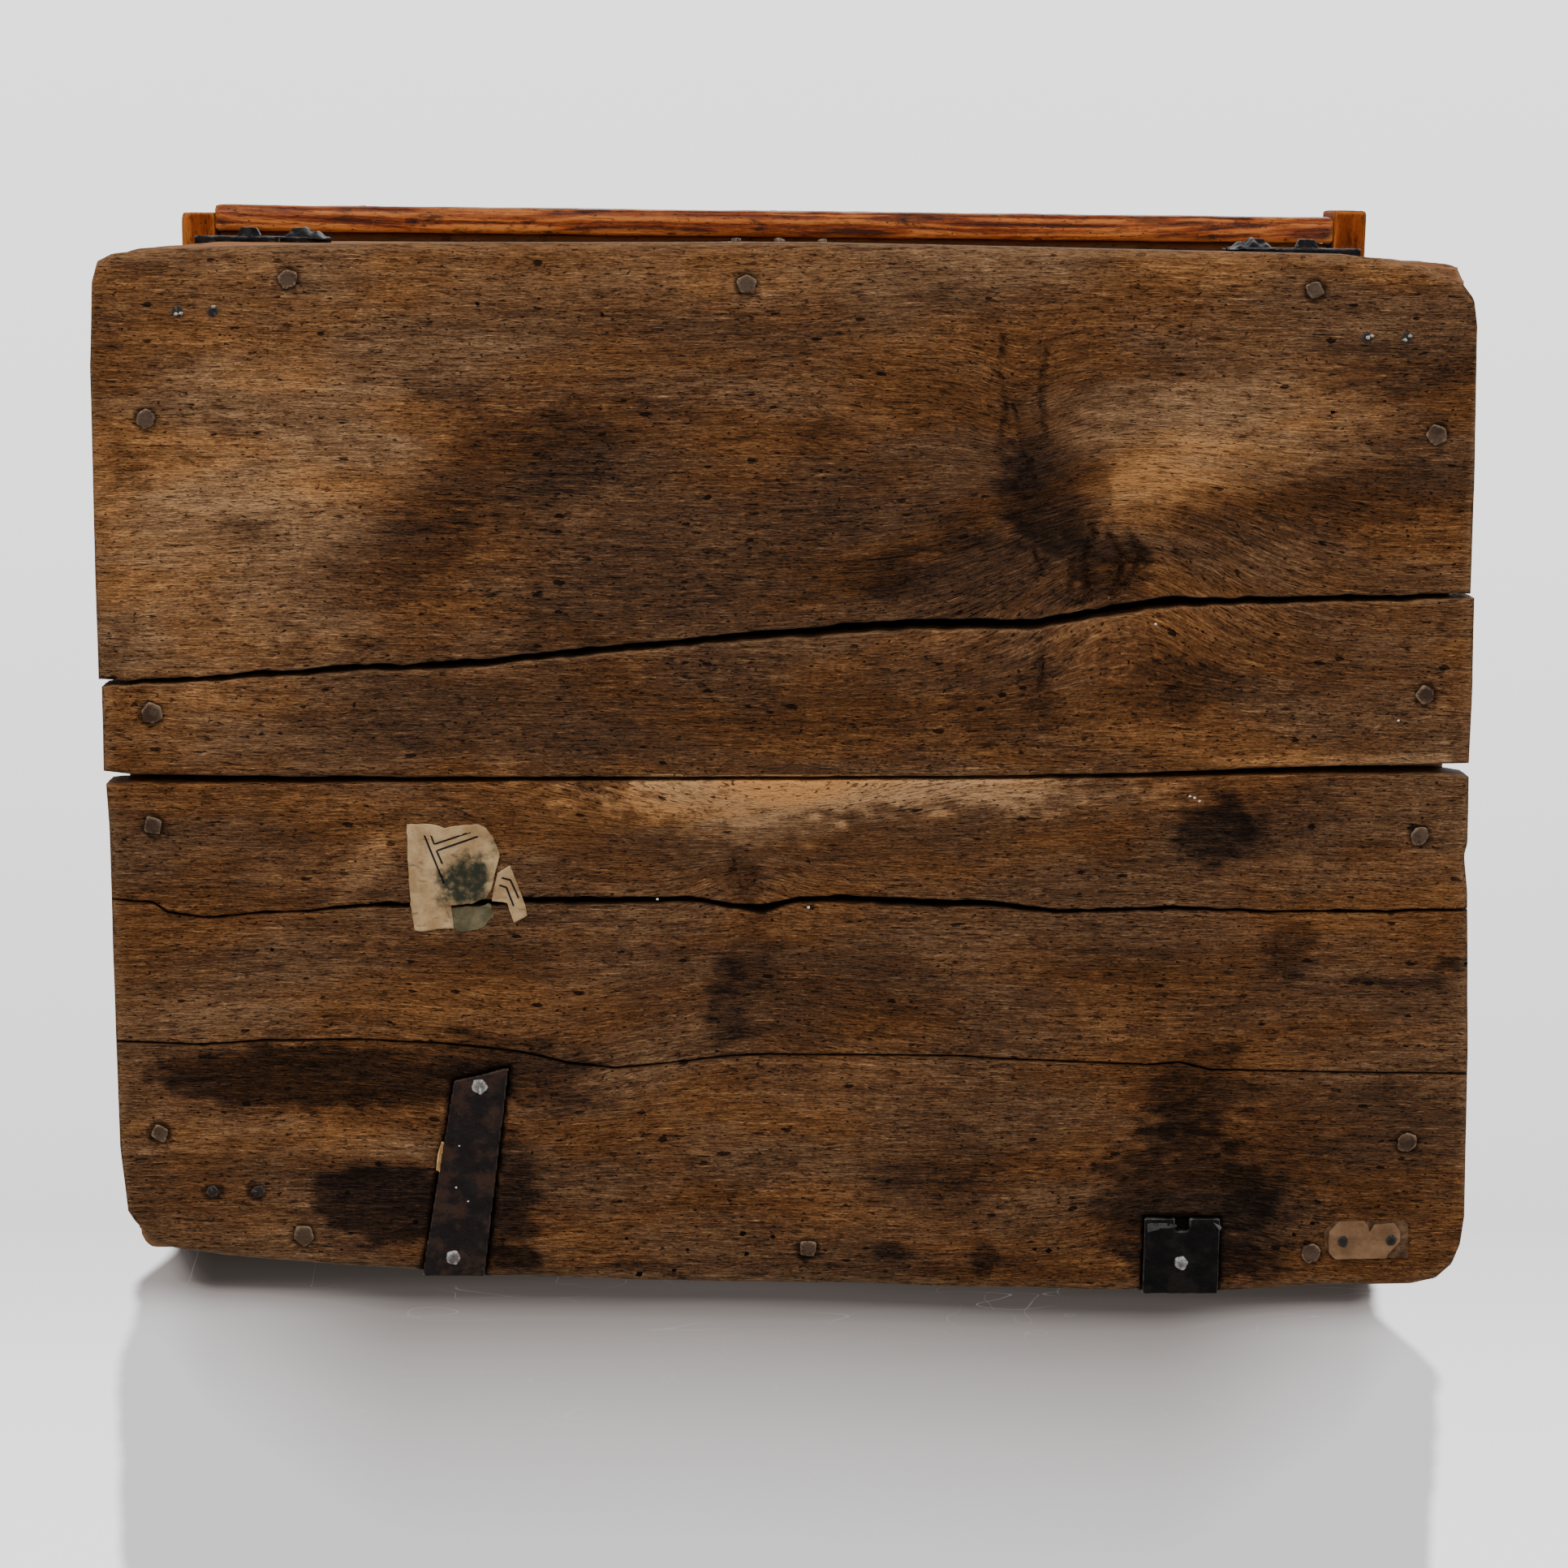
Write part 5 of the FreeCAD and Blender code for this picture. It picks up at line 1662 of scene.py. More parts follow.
@dataclass(frozen=True)
class PaperScrap:
    """Torn scrap of old paper glued to the back board, bare but for a few ruled lines."""

    scrap: Sheet = Sheet(
        ((501, 1015), (530, 1015), (548, 1020), (556, 1018), (577, 1016), (588, 1015), (598, 1019),
         (608, 1032), (616, 1052), (611, 1071), (606, 1094), (600, 1106), (582, 1113), (562, 1115),
         (549, 1115), (553, 1129), (560, 1144), (541, 1144), (522, 1148), (511, 1147), (506, 1115),
         (502, 1055)),
        0.16 * MM, 0.0, 0.25 * MM, 0.25 * MM,
    )
    corner: Sheet = Sheet(
        ((613, 1075), (628, 1066), (637, 1088), (647, 1115), (650, 1128), (633, 1137), (625, 1112),
         (606, 1110), (609, 1094)),
        0.16 * MM, 0.0, 0.2 * MM, 0.3 * MM,
    )
    crust: Sheet = Sheet(
        ((551, 1119), (556, 1139), (563, 1147), (580, 1148), (596, 1142), (608, 1128), (605, 1113),
         (590, 1116), (570, 1118)),
        0.1 * MM, 0.0, 0.5 * MM,
    )
    rules: tuple[Line, ...] = (
        ((518, 1017), (547, 1088)),
        ((528, 1020), (535, 1040), (580, 1025)),
        ((545, 1064), (538, 1048), (596, 1028)),
        ((613, 1080), (629, 1084), (639, 1106)),
        ((611, 1089), (624, 1093), (633, 1116)),
    )
    rule_width: float = 0.28 * MM
    rule_rise: float = 0.12 * MM
    rule_points: int = 24
    mould_middle: Pixel = (576, 1084)
    mould_half: Pixel = (40, 44)
    mould_soot: float = 0.95
    mould_fade: Pair = (1.35, 0.45)
    mould_waver: Ripple = Ripple(0.4, 34, 34, 2)
    rim_right: Pair = (588, 612)
    rim_upwards: Pair = (1075, 1040)
    rim_soot: float = 0.6

    def rule(self, mesh: Mesh, line: Line, under: Underside) -> None:
        """Adds one ruled line on the scrap.

        Args:
            mesh: Mesh that it goes into.
            line: Pixels of the photograph.
            under: The boards below.
        """
        path = along(under.view.points(line), np.linspace(0, 1, self.rule_points))
        ahead = np.gradient(path, axis=0)
        side = np.stack([-ahead[:, 1], ahead[:, 0]], axis=1) / np.hypot(*ahead.T)[:, None] * self.rule_width
        both = np.concatenate([path - side, path + side])
        z = under.read(both[:, 0], both[:, 1])["depth"] - self.scrap.thickness - self.rule_rise
        near = np.arange(self.rule_points - 1)
        far = near + self.rule_points
        mesh.add(np.column_stack([both, z]), facets(near, far, far + 1, near + 1), 2)

    def build(self, under: Underside, paints: Paints) -> list[Piece]:
        """Builds the scrap.

        Args:
            under: The boards that carry it.
            paints: Materials by finish.

        Returns:
            The piece.
        """
        mesh = Mesh()
        self.scrap.lay(mesh, under)
        self.corner.lay(mesh, under)
        self.crust.lay(mesh, under, 1)
        for line in self.rules:
            self.rule(mesh, line, under)
        u, v = under.view.pixel(*np.concatenate(mesh.places)[:, :2].T)
        across = (u - self.mould_middle[0]) / self.mould_half[0]
        down = (v - self.mould_middle[1]) / self.mould_half[1]
        spot = np.hypot(across, down) + self.mould_waver.at(under.noise, u, v)
        rim = self.rim_soot * ease(*self.rim_right, u) * ease(*self.rim_upwards, v)
        mesh.values["painted_shade_and_dirt"] = [(0, np.maximum(self.mould_soot * ease(*self.mould_fade, spot), rim))]
        return [mesh.piece("glued_paper_scrap", (paints["paper"], paints["mould"], paints["ink"]), Body.BOX)]


@dataclass(frozen=True)
class Spots:
    """Small ragged spots of one kind on the boards, at pixels of the photograph."""

    name: str
    finish: str
    radius: float
    places: Line
    lift: float = 0.12 * MM
    sunk: float = 0.02 * MM
    points: int = 14
    flatness: float = 0.8
    inner: float = 0.7

    def build(self, under: Underside, paints: Paints) -> list[Piece]:
        """Builds the spots.

        Args:
            under: The boards that carry them.
            paints: Materials by finish.

        Returns:
            The piece that holds them all.
        """
        rng = np.random.default_rng(len(self.places))
        angle = np.linspace(0, math.tau, self.points, endpoint=False)
        outer = np.arange(self.points)
        inner = outer + self.points
        after = np.roll(inner, -1)
        faces = facets(np.full(self.points, 2 * self.points), after, inner)
        faces += facets(outer, inner, after, np.roll(outer, -1))
        mesh = Mesh()
        for middle in under.view.points(self.places):
            reach = self.radius * rng.uniform(0.7, 1.3) * (1 + rng.normal(0, 0.14, self.points))
            x, y = middle
            flat = np.stack([x + reach * np.cos(angle), y + self.flatness * reach * np.sin(angle)], axis=1)
            flat = np.concatenate([flat, middle + (flat - middle) * self.inner, middle[None]])
            z = under.read(flat[:, 0], flat[:, 1])["depth"] - self.sunk
            z[self.points:] -= self.lift * rng.uniform(0.85, 1.0, self.points + 1)
            mesh.add(np.column_stack([flat, z]), faces)
        return [mesh.piece(self.name, (paints[self.finish],), Body.BOX)]


@dataclass(frozen=True)
class SmallMarks:
    """Worm holes as dark spots of painted shade, pale flecks, a splinter and the rubbed corners of the short
    strap.
    """

    # worm holes: dark spots that paint the shade inside each hole
    holes: Spots = Spots("worm_holes", "hole", 0.8 * MM, (
        (588, 374), (742, 387), (1642, 508), (1594, 1521), (772, 1526), (847, 1540), (831, 1565),
        (787, 1570), (915, 1520), (952, 1524), (920, 1545), (1275, 1539), (1292, 1541), (466, 1434),
        (512, 1506), (428, 1470), (545, 1530), (1617, 1507), (335, 1170), (1806, 1187),
    ))
    flecks: Spots = Spots("pale_flecks", "fleck", 0.38 * MM, (
        (1472, 983), (1478, 987), (1466, 981), (996, 1118), (810, 1108), (1424, 769), (1723, 888),
    ))
    crumbs: Spots = Spots("pale_crumbs", "crumb", 0.65 * MM, (
        (217, 387), (223, 386), (263, 378), (1685, 416), (1690, 414), (1731, 419), (1737, 414),
    ), 1.3 * MM)
    specks: Spots = Spots(
        "pale_specks", "fleck", 0.5 * MM, ((566, 1412), (562, 1463), (577, 1480)), 2.8 * MM,
    )
    splinter: Sheet = Sheet(
        ((544, 1407), (550, 1412), (548, 1432), (542, 1446), (538, 1440), (540, 1420)),
        1.6 * MM, 0.3 * MM, 0.05 * MM,
    )
    strap: str = "hinge_strap_right"
    worn_corners: tuple[Line, ...] = (
        ((1414, 1508), (1432, 1507), (1450, 1509), (1448, 1512), (1428, 1514), (1415, 1518)),
        ((1486, 1504), (1503, 1503), (1505, 1514), (1500, 1520), (1494, 1512), (1484, 1510)),
    )
    worn_thickness: float = 0.2 * MM
    worn_sunk: float = 0.1 * MM
    worn_fray: float = 0.3 * MM

    def build(self, under: Underside, paints: Paints) -> list[Piece]:
        """Builds the marks.

        Args:
            under: The boards that carry them.
            paints: Materials by finish.

        Returns:
            The pieces.
        """
        made = []
        for spots in (self.holes, self.flecks, self.crumbs, self.specks):
            made.extend(spots.build(under, paints))
        splinter = Mesh()
        self.splinter.lay(splinter, under)
        made.append(splinter.piece("pale_splinter", (paints["splinter"],), Body.BOX))
        bare = Mesh()
        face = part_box(self.strap)[0].z
        for outline in self.worn_corners:
            seat = under.read(*under.view.points(outline).T)["depth"].mean()
            lift = seat - face - self.worn_sunk
            Sheet(outline, self.worn_thickness, lift, self.worn_fray).lay(bare, under)
        made.append(bare.piece("rubbed_strap_corners", (paints["rubbed"],), Body.BOX))
        return made


@dataclass(frozen=True)
class LeafTips:
    """Curled leaf-shaped ends of the two corner irons, beaten up from the front wall.

    A lobe is its place along the leaf, from -1 to 1, its width and its share of the height.
    """

    length: float = 17 * MM
    width: float = 17 * MM
    lobes: tuple[Triple, ...] = ((-0.6, 0.26, 0.6), (-0.05, 0.3, 1.0), (0.5, 0.24, 0.62))
    vein_depth: float = 0.16
    vein_width: float = 0.12
    dents: float = 0.1
    height: float = 4.2 * MM
    sunk: float = 0.6 * MM
    rows: int = 30
    tips: tuple[tuple[str, float, int], ...] = (
        ("corner_iron_left", 1.0, 21), ("corner_iron_right", -1.0, 22),
    )

    def leaf(self, mesh: Mesh, node: str, inner: float, noise: Noise) -> None:
        """Adds one leaf.

        Args:
            mesh: Mesh that it goes into.
            node: CAD node of the iron.
            inner: Side of the iron that its tip lies on, 1 for right and -1 for left.
            noise: Noise that dents it.
        """
        low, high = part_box(node)
        tip = high.x if inner > 0 else low.x
        a, b = np.meshgrid(*(np.linspace(-1.0, 1.0, self.rows),) * 2)
        swell = sum(h * np.exp(-(((a - c) / w) ** 2)) for c, w, h in self.lobes)
        vein = self.vein_depth * np.exp(-((b / self.vein_width) ** 2))
        dents = self.dents * noise.layered(a * 5, b * 5, 3)
        rise = swell * (1.0 - b**2) * (1.0 - np.abs(a) ** 6) - vein + dents
        x = tip - inner * self.length / 2 + inner * a * self.length / 2
        y = low.y + self.sunk - np.maximum(rise, 0.0) * self.height
        z = (low.z + high.z) / 2 + b * self.width / 2
        number = np.arange(self.rows**2).reshape(self.rows, self.rows)
        corners = [number[:-1, :-1], number[:-1, 1:], number[1:, 1:], number[1:, :-1]]
        if inner < 0:
            corners.reverse()
        mesh.add(np.stack([x.ravel(), y.ravel(), z.ravel()], axis=1), facets(*corners))

    def build(self, paints: Paints) -> list[Piece]:
        """Builds both leaves.

        Args:
            paints: Materials by finish.

        Returns:
            The piece.
        """
        mesh = Mesh()
        for node, inner, seed in self.tips:
            self.leaf(mesh, node, inner, Noise(seed))
        return [mesh.piece("forged_leaf_tips", (paints["black"],), Body.BOX)]


@dataclass(frozen=True)
class Dressing:
    """How CAD nodes are dressed: their finish, and the wear that modifiers give their shape."""

    finish: str
    nodes: tuple[str, ...]
    voxel_mm: float
    unevenness_mm: float = 0.0
    lump_mm: float = 6.0
    shrink_mm: float = 0.0

    def wear(self, node: Piece) -> None:
        """Gives a node its worn shape.

        Args:
            node: The CAD node.
        """
        skin = node.modifiers.new("worn_shape", "REMESH")
        skin.mode = "VOXEL"
        skin.voxel_size = self.voxel_mm * MM
        skin.use_smooth_shade = True
        if self.unevenness_mm:
            lumps = bpy.data.textures.new(f"{node.name}_lumps", "CLOUDS")
            lumps.noise_scale = self.lump_mm * MM
            lumps.noise_depth = 2
            push = node.modifiers.new("hammered", "DISPLACE")
            push.texture = lumps
            push.texture_coords = "LOCAL"
            push.strength = self.unevenness_mm * MM
            push.mid_level = 0.5
        if self.shrink_mm:
            slim = node.modifiers.new("worn_thin", "DISPLACE")
            slim.strength = -self.shrink_mm * MM
            slim.mid_level = 0.0

    def apply(self, paints: Paints) -> None:
        """Dresses the nodes.

        Args:
            paints: Materials by finish.
        """
        for name in self.nodes:
            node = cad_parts[name]
            if not node.material_slots:
                node.data.materials.append(paints[self.finish])
            for slot in node.material_slots:
                slot.material = paints[self.finish]
            self.wear(node)
            log.info("dressed %s", name)


@dataclass(frozen=True)
class Studio:
    """Plain pale floor with a painted reflection and a painted shadow below the box on its back, soft lights
    and the photograph's camera.

    An edge of the mirror image is where it starts beside the middle and how far it steps out twice, in
    millimetres. A lamp is its name, its place in metres, the side of its square and its watts.
    """

    view: PhotoView
    back_y: float
    ground: float = -1.9 * MM
    reach: float = 3.0
    ambient: float = 0.42
    seen_strength: float = 2.05
    floor: Colour = (0.80, 0.795, 0.79, 1.0)
    floor_haze: Colour = (0.6, 0.6, 0.6, 1.0)
    floor_roughness: float = 0.35
    mirror_depth_mm: float = 200.0
    left_edge: Triple = (185.0, 12.0, 6.0)
    right_edge: Triple = (179.0, 2.0, 21.0)
    near_step: Pair = (-60.0, 0.0)
    far_step: Pair = (5.0, 78.0)
    edge_blur: float = 2.5
    lower_right_mm: float = 13.0
    lower_from: Pair = (-40.0, 130.0)
    front_shade_mm: float = 600.0
    pale_side: Pair = (110.0, 204.0)
    pale_below: Pair = (-16.0, 26.0)
    pale_rim: Pair = (172.0, 194.0)
    card_z: float = 12 * MM
    card_half: float = 0.21
    card_reach: float = 0.03
    card_steep: float = 4.1
    target: Triple = (0.0, 0.0, 0.1)
    lamps: tuple[tuple[str, Triple, float, float], ...] = (
        ("key", (-0.7, -1.5, -0.9), 1.4, 34.0),
        ("fill", (1.0, -0.7, -1.3), 1.6, 18.0),
        ("high", (0.4, -0.7, 1.9), 1.6, 26.0),
        ("rear", (-0.6, 1.6, 1.2), 1.6, 14.0),
    )
    # tones of the painted reflection, darkest in the painted contact shadow at the box
    mirror: Stops = (
        (0.0, (0.03, 0.024, 0.02, 1.0)),
        (0.06, (0.055, 0.046, 0.041, 1.0)),
        (0.1, (0.10, 0.085, 0.078, 1.0)),
        (0.14, (0.215, 0.19, 0.178, 1.0)),
        (0.19, (0.325, 0.288, 0.274, 1.0)),
        (0.36, (0.50, 0.465, 0.455, 1.0)),
        (0.55, (0.67, 0.635, 0.625, 1.0)),
        (0.96, (1.0, 0.97, 0.98, 1.0)),
    )
    sky: Stops = (
        (0.1, (1.0, 1.0, 1.02, 1.0)),
        (0.4, (0.88, 0.88, 0.89, 1.0)),
        (0.68, (0.74, 0.73, 0.735, 1.0)),
        (0.76, (0.92, 0.92, 0.93, 1.0)),
        (0.84, (0.99, 0.99, 1.01, 1.0)),
    )

    def mirror_place(self, graph: Graph, card: bool) -> tuple[Socket, Socket]:
        """Finds what a sheet of the floor mirrors.

        Args:
            graph: Graph of the material.
            card: Whether the sheet is the shadow behind the boards' back edge.

        Returns:
            Column of the box and depth below it, in millimetres.
        """
        place = graph.here()
        if card:
            short = graph.minus(graph.axis(place, "Y"), self.back_y / MM)
            depth = graph.minus(graph.times(short, self.card_steep), self.card_z / MM)
            nearer = 1.0 + self.card_z / self.view.distance
        else:
            depth = graph.times(graph.axis(place, "Z"), -1.0)
            nearer = graph.minus(1.0, graph.math("DIVIDE", depth, self.view.distance / MM))
        foot = self.view.foot_x / MM
        column = graph.math("DIVIDE", graph.minus(graph.axis(place, "X"), foot), nearer)
        return graph.plus(column, foot), depth

    def mirror_cover(self, graph: Graph, column: Socket, depth: Socket) -> Socket:
        """Draws the soft outline of the mirror image.

        Args:
            graph: Graph of the material.
            column: Column of the box.
            depth: Depth below the box.

        Returns:
            1 within the image and 0 outside it.
        """
        edges = []
        for start, rise, more in (self.left_edge, self.right_edge):
            near = graph.times(graph.band(depth, *self.near_step), rise)
            far = graph.times(graph.band(depth, *self.far_step), more)
            edges.append(graph.total([start, near, far]))
        right = graph.math("GREATER_THAN", column, 0.0)
        edge = graph.plus(edges[0], graph.times(graph.minus(edges[1], edges[0]), right))
        haze = graph.swing(graph.noise(graph.here(), 0.03, 0.03, 4.0), 5.0)
        inner = graph.minus(graph.plus(edge, haze), graph.math("ABSOLUTE", column))
        cover = graph.band(inner, -self.edge_blur, self.edge_blur)
        return graph.times(cover, graph.band(depth, self.mirror_depth_mm * 4, self.mirror_depth_mm))

    def mirror_finish(self, name: str, card: bool) -> Material:
        """Paints the dim reflection of the box and its contact shadow, as a glow, for the box on its back;
        the rest of that floor is clear.

        Args:
            name: Name of the material.
            card: Whether it is for the shadow behind the boards' back edge.

        Returns:
            The material.
        """
        graph = MaterialGraph(name)
        column, depth = self.mirror_place(graph, card)
        graph.veil(graph.times(self.mirror_cover(graph, column, depth), graph.seen()))
        beside = graph.math("ABSOLUTE", column)
        past = graph.minus(depth, graph.times(graph.band(column, *self.lower_from), self.lower_right_mm))
        below = graph.band(past, *self.pale_below)
        scratches = graph.group(scuffs(), {"Place": graph.here()})["Scratches"]
        # painted contact shadow at the box, paler further below and towards the sides of the reflection
        share = graph.total([
            0.1,
            graph.times(graph.math("MAXIMUM", past, 0.0), 0.9 / self.mirror_depth_mm),
            graph.math("DIVIDE", graph.math("MINIMUM", past, 0.0), self.front_shade_mm),
            graph.times(graph.times(graph.band(beside, *self.pale_side), 0.5), below),
            graph.times(graph.band(beside, *self.pale_rim), 0.2),
            graph.swing(graph.noise(graph.here(), 0.006, 0.03, 3.0), 0.05),
            graph.times(scratches, 0.05),
        ])
        return graph.finish({
            "Base Color": (0.0, 0.0, 0.0, 1.0),
            "Specular IOR Level": 0.0,
            # the painted reflection and shadow glow, without taking light
            "Emission Color": graph.ramp(share, self.mirror),
            "Emission Strength": 1.0,
        })

    def floor_finish(self) -> Material:
        """Makes the floor of the standing box, which shows from above only and lets light through.

        Returns:
            The material.
        """
        graph = MaterialGraph("floor_upright")
        graph.veil(graph.seen())
        haze = graph.times(graph.noise(graph.here(), 0.004, 0.004, 3.0), 0.12)
        colour = graph.mix(haze, self.floor, self.floor_haze)
        return graph.finish({"Base Color": colour, "Roughness": self.floor_roughness})

    def sheet(self, name: str, corners: Sequence[Triple], finish: Material) -> None:
        """Adds one flat sheet of the stage.

        Args:
            name: Name of the sheet.
            corners: Its corners, anticlockwise from its upper side.
            finish: Its material.
        """
        data = bpy.data.meshes.new(name)
        data.from_pydata(corners, [], [tuple(range(len(corners)))])
        data.materials.append(finish)
        placed(name, data)

    def lamp(self, name: str, place: Sequence[float], size: float, power: float) -> None:
        """Adds a soft square light that faces the box.

        Args:
            name: Name of the light.
            place: Where it stands, in metres.
            size: Side of the square.
            power: Watts.
        """
        data = bpy.data.lights.new(name, "AREA")
        data.shape = "SQUARE"
        data.size = size
        data.energy = power
        made = placed(name, data)
        made.location = place
        made.rotation_mode = "QUATERNION"
        made.rotation_quaternion = (Vector(self.target) - Vector(place)).to_track_quat("-Z", "Y")

    def world(self) -> None:
        """Sets the even grey surroundings, paler above than below."""
        made = bpy.data.worlds.new("studio")
        made.use_nodes = True
        graph = Graph(made.node_tree)
        seen = graph.node("ShaderNodeLightPath").outputs["Is Camera Ray"]
        way = graph.node("ShaderNodeTexCoord").outputs["Generated"]
        steep = graph.math("MAXIMUM", graph.math("ABSOLUTE", graph.axis(way, "Z")), 0.2)
        fall = graph.times(graph.math("DIVIDE", graph.axis(way, "Y"), steep), 1 / 0.6)
        graph.fill(made.node_tree.nodes["Background"], {
            "Color": graph.ramp(graph.plus(fall, 1 / 6), self.sky),
            "Strength": graph.plus(graph.times(seen, self.seen_strength - self.ambient), self.ambient),
        })
        bpy.context.scene.world = made

    def build(self) -> None:
        """Builds camera, floor, lights and surroundings."""
        self.view.camera()
        far, y, z = self.reach, self.back_y, self.ground
        top, wide, high = self.card_z, self.card_half, self.back_y - self.card_reach
        back = [(-far, y, -far), (far, y, -far), (far, y, top), (-far, y, top)]
        # floor sheet that glows with the painted reflection and contact shadow of the box
        self.sheet("floor_under_the_back", back, self.mirror_finish("floor_back_painted_reflection_and_shadow", False))
        # dark card that paints the shadow behind the boards' back edge
        card = [(-wide, high, top), (-wide, y, top), (wide, y, top), (wide, high, top)]
        self.sheet("shadow_behind_the_edge", card, self.mirror_finish("floor_painted_shadow", True))
        bottom = [(-far, -far, z), (far, -far, z), (far, far, z), (-far, far, z)]
        self.sheet("floor_under_the_bottom", bottom, self.floor_finish())
        for lamp in self.lamps:
            self.lamp(*lamp)
        self.world()


VARNISH = (paint(58, 22, 7), paint(124, 56, 20), paint(172, 102, 46), paint(18, 11, 7))
FADED = (paint(104, 66, 44), paint(150, 106, 76), paint(182, 140, 104), paint(54, 34, 24))
PLAIN = (paint(92, 62, 38), paint(138, 98, 62), paint(176, 136, 92), paint(50, 34, 22))
SPLINTER = (paint(168, 120, 70), paint(206, 158, 100), paint(228, 190, 136), paint(120, 84, 50))
DULL = dict(roughness=0.7, gloss=0.0, band_mm=7.0, grime_share=0.45, foot_mm=28.0)
BARE_BELOW = dict(foot_mm=245.4, foot_soft_mm=0.6, foot=paint(134, 94, 60))
STREAKED = dict(band_mm=2.2, figure=0.75, fibre=1.3, mottle=0.5, grime_share=0.8)
ACROSS = dict(grain=Grain.ALONG_Y)
LOOKS: dict[str, RawBoard | Pine | Iron | Card] = {
    "raw": RawBoard(),
    "sawn_end": Pine("sawn_end", *PLAIN, band_mm=1.6, roughness=0.75),
    "inside": Pine("inside_pine", *PLAIN, roughness=0.7),
    "wall": Pine("wall_pine", *FADED, **DULL),
    "wall_across": Pine("wall_pine_across", *FADED, **DULL, **ACROSS),
    "lid": Pine("lid_pine", *VARNISH, **BARE_BELOW, band_mm=6.0, roughness=0.46, coat=0.03, gloss=0.06),
    "lid_edge": Pine("lid_edge_pine", *VARNISH, **STREAKED, roughness=0.42, coat=0.05),
    "lid_across": Pine("lid_pine_across", *VARNISH, **ACROSS, band_mm=6.0, roughness=0.55, gloss=0.02),
    "splinter": Pine("splinter_pine", *SPLINTER),
    "black": Iron("black_iron", paint(11, 9, 8), paint(30, 20, 15), paint(104, 102, 100), wear_share=0.7),
    "rusty": Iron(
        "rusty_iron", paint(24, 18, 16), paint(54, 34, 24), paint(92, 80, 72),
        rust_share=0.9, metallic=0.2, wear_share=0.6,
    ),
    "blue_grey": Iron(
        "blue_grey_iron", paint(66, 74, 84), paint(60, 44, 36), paint(150, 154, 160), rust_share=0.35,
    ),
    "nail": Iron(
        "nail_iron", paint(74, 56, 42), paint(46, 28, 18), paint(140, 114, 88),
        rust_share=0.8, metallic=0.1, wear_share=0.65,
    ),
    "pale_nail": Iron(
        "pale_nail_iron", paint(132, 128, 126), paint(70, 56, 48), paint(190, 188, 186),
        rust_share=0.7, metallic=0.3,
    ),
    "rubbed": Iron(
        "rubbed_iron", paint(62, 60, 59), paint(26, 22, 20), paint(112, 110, 108),
        rust_share=0.9, metallic=0.2,
    ),
    "tack": Iron("tack_iron", paint(38, 30, 26), paint(46, 32, 25), paint(80, 72, 66), metallic=0.1),
    "lock": Iron("lock_iron", paint(58, 54, 52), paint(74, 40, 22), paint(150, 146, 140), rust_share=0.45),
    "card": Card("card", paint(102, 75, 53), paint(128, 98, 71), paint(52, 36, 26), 0.3, 0.4),
    "paper": Card("old_paper", paint(148, 118, 82), paint(182, 152, 112), paint(44, 46, 36), 0.5, 0.35),
    "mould": Card("mould_crust", paint(76, 70, 50), paint(112, 102, 78), paint(44, 42, 30), 0.8),
    "ink": Card("ruled_ink", paint(26, 24, 26), paint(40, 38, 40), paint(16, 15, 16)),
    # near-black paint for the shade inside the worm holes
    "hole": Card("worm_hole_painted_shade", paint(9, 6, 4), paint(14, 9, 6), paint(5, 3, 2)),
    "crumb": Card("pale_crumb", paint(132, 122, 108), paint(178, 168, 150), paint(72, 58, 44), 0.7, 0.5),
    "fleck": Card("pale_fleck", paint(196, 196, 198), paint(226, 226, 228), paint(140, 138, 134), 0.3, 0.3),
}
LOCK_NODES = (
    "lock_plate", "bolt_guides", "lock_bridge", "lock_key_post", "lock_spring", "lock_bolt", "lock_staple",
)
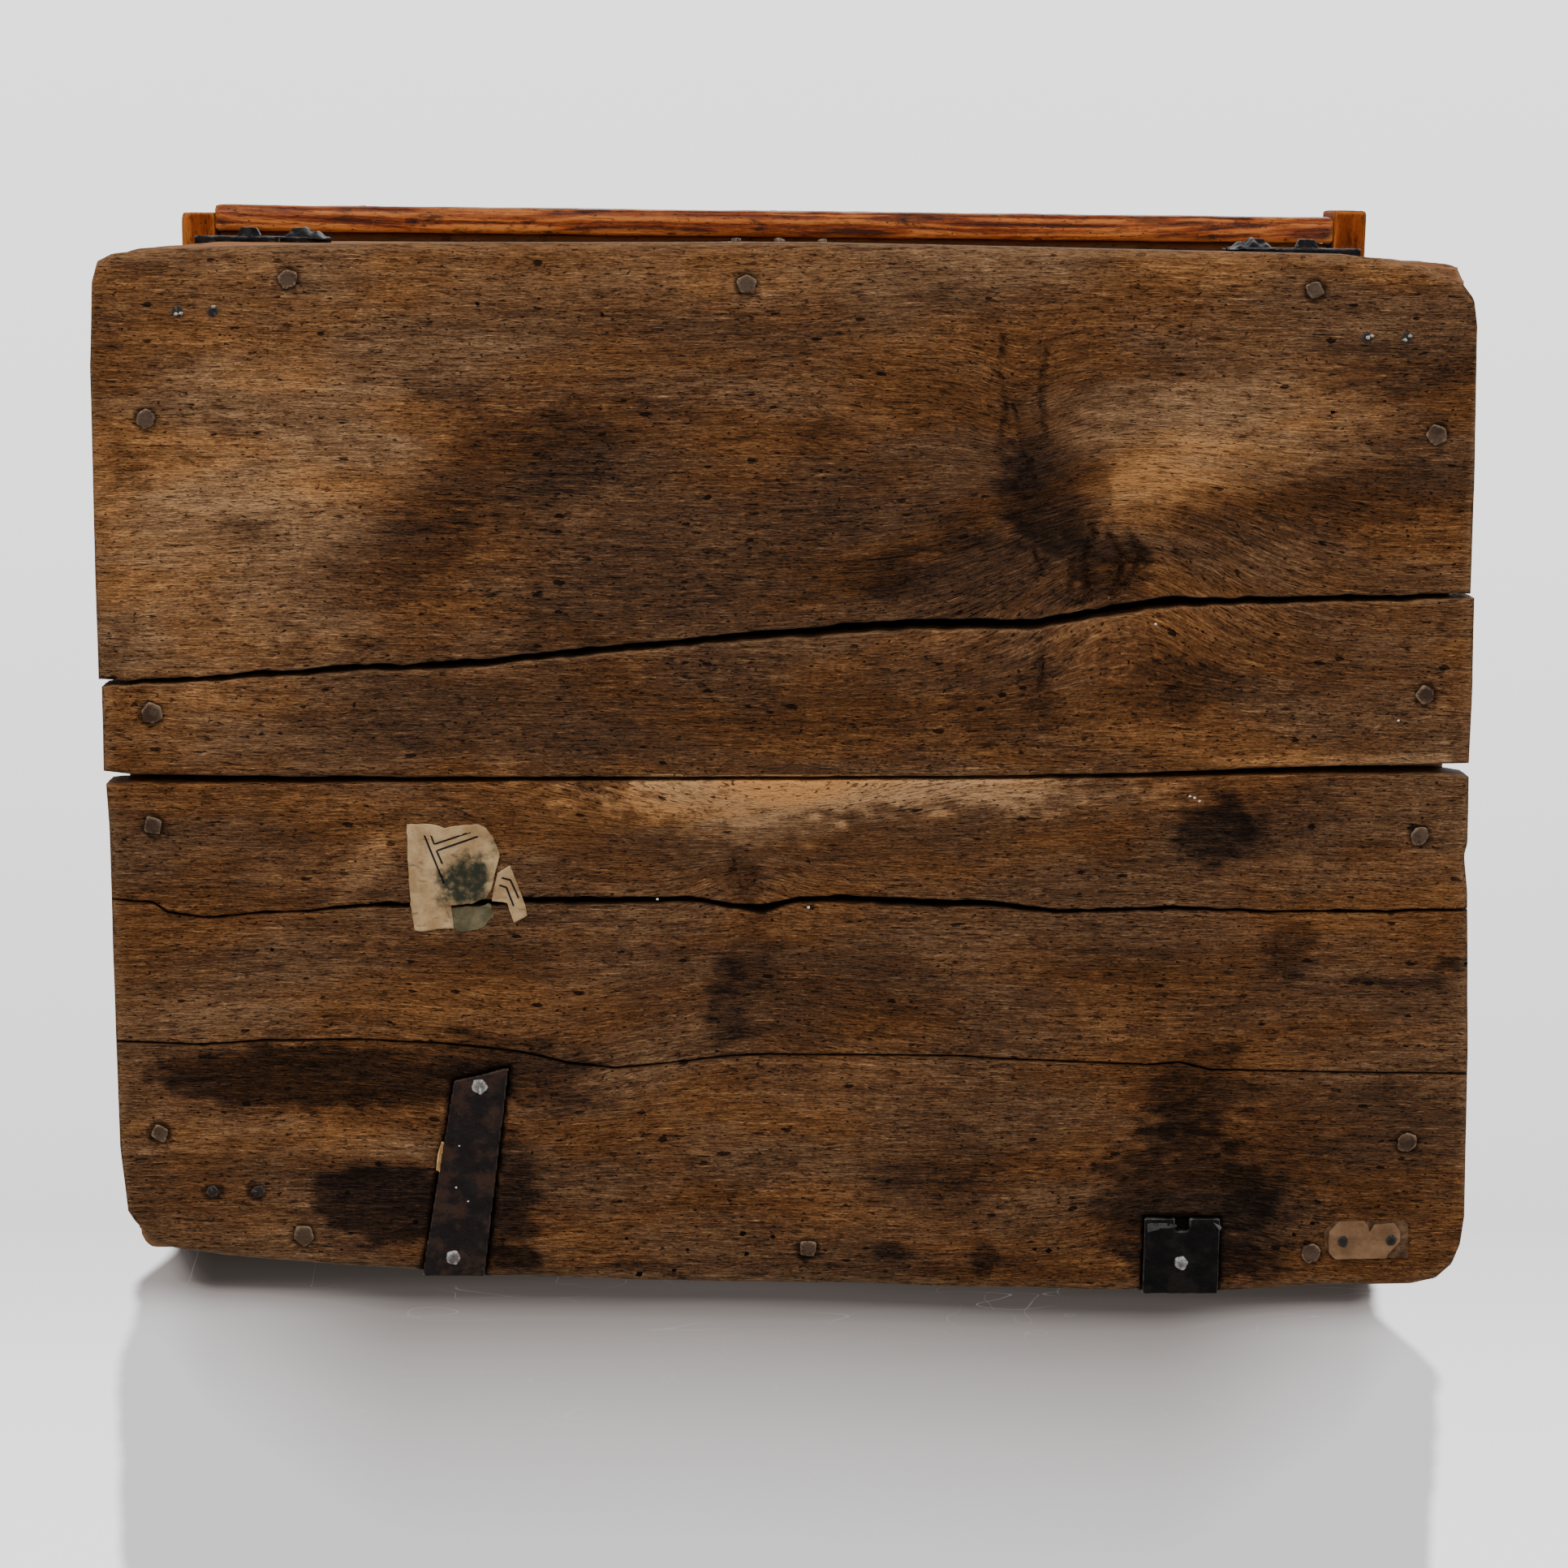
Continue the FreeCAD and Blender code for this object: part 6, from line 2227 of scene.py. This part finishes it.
DRESSINGS = (
    Dressing("wall", ("front_wall", "back_wall"), 2.0, 0.5, 30),
    Dressing("wall_across", ("left_wall", "right_wall"), 2.0, 0.5, 30),
    Dressing("lid", ("lid_board",), 1.2, 0.7, 20),
    Dressing("lid_edge", ("lid_front_strip",), 1.0, 0.7, 20),
    Dressing("lid_across", ("lid_left_batten", "lid_right_batten"), 1.2, 0.6, 20),
    Dressing("rusty", ("hinge_strap_left",), 0.5, 0.5, 7),
    Dressing("black", ("hinge_strap_right",), 0.5, 0.4, 7),
    Dressing("black", ("hinge_leaf_left", "hinge_leaf_right"), 0.45, 0.25, 7),
    Dressing("black", ("hinge_pin_left", "hinge_pin_right"), 0.25, shrink_mm=0.4),
    Dressing("black", ("corner_iron_left", "corner_iron_right"), 0.4, 0.35, 5),
    Dressing("black", ("corner_iron_nails",), 0.3, 0.3, 3),
    Dressing("blue_grey", ("lock_escutcheon", "slot_plate"), 0.4, 0.2, 6),
    Dressing("lock", LOCK_NODES, 0.3, 0.1, 4),
)
NAILS = (
    ForgedNails("bottom_nails", Body.BOX, "nail", 5),
    ForgedNails("wall_nails", Body.BOX, "nail", 6),
    ForgedNails("hinge_strap_nails", Body.BOX, "pale_nail", 7, 0.7 * MM, 0.5 * MM),
    ForgedNails("escutcheon_nails", Body.BOX, "nail", 9, 0.2 * MM, 0.3 * MM),
    ForgedNails("pad_tacks", Body.BOX, "tack", 10, 0.3 * MM, 0.2 * MM, 1.3),
    ForgedNails("lock_plate_nails", Body.BOX, "nail", 11, 0.2 * MM, 0.3 * MM),
    ForgedNails("lid_nails", Body.LID, "nail", 12),
    ForgedNails("hinge_leaf_nails", Body.LID, "black", 13, 0.3 * MM, 0.3 * MM),
    ForgedNails("slot_plate_nails", Body.LID, "nail", 14, 0.2 * MM, 0.3 * MM),
    ForgedNails("lock_staple_nails", Body.LID, "nail", 15, 0.2 * MM, 0.2 * MM),
)


def main() -> None:
    """Builds and dresses the box, its stage and its camera."""
    logging.basicConfig(level=logging.INFO, format="%(message)s")
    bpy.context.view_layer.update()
    view = PhotoView()
    paints = {name: finish.material() for name, finish in LOOKS.items()}
    middle_y = (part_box("front_wall")[0].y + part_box("back_wall")[1].y) / 2
    holes = [(nail.centre.x, nail.centre.y) for nail in nail_places("bottom_nails")]
    under = Underside(view, Noise(NOISE_SEED), holes, middle_y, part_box("bottom_board_front")[1].z)
    pieces = under.build(paints)
    for group in NAILS:
        pieces.extend(group.build(paints))
    pieces.extend(FootPad().build(under, paints))
    pieces.extend(PaperScrap().build(under, paints))
    pieces.extend(LeafTips().build(paints))
    pieces.extend(SmallMarks().build(under, paints))
    for piece in pieces:
        log.info("built %s", piece.name)
    for dressing in DRESSINGS:
        dressing.apply(paints)
    Studio(view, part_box("bottom_board_back")[1].y + FLOOR_GAP).build()


if __name__ == "__main__":
    main()
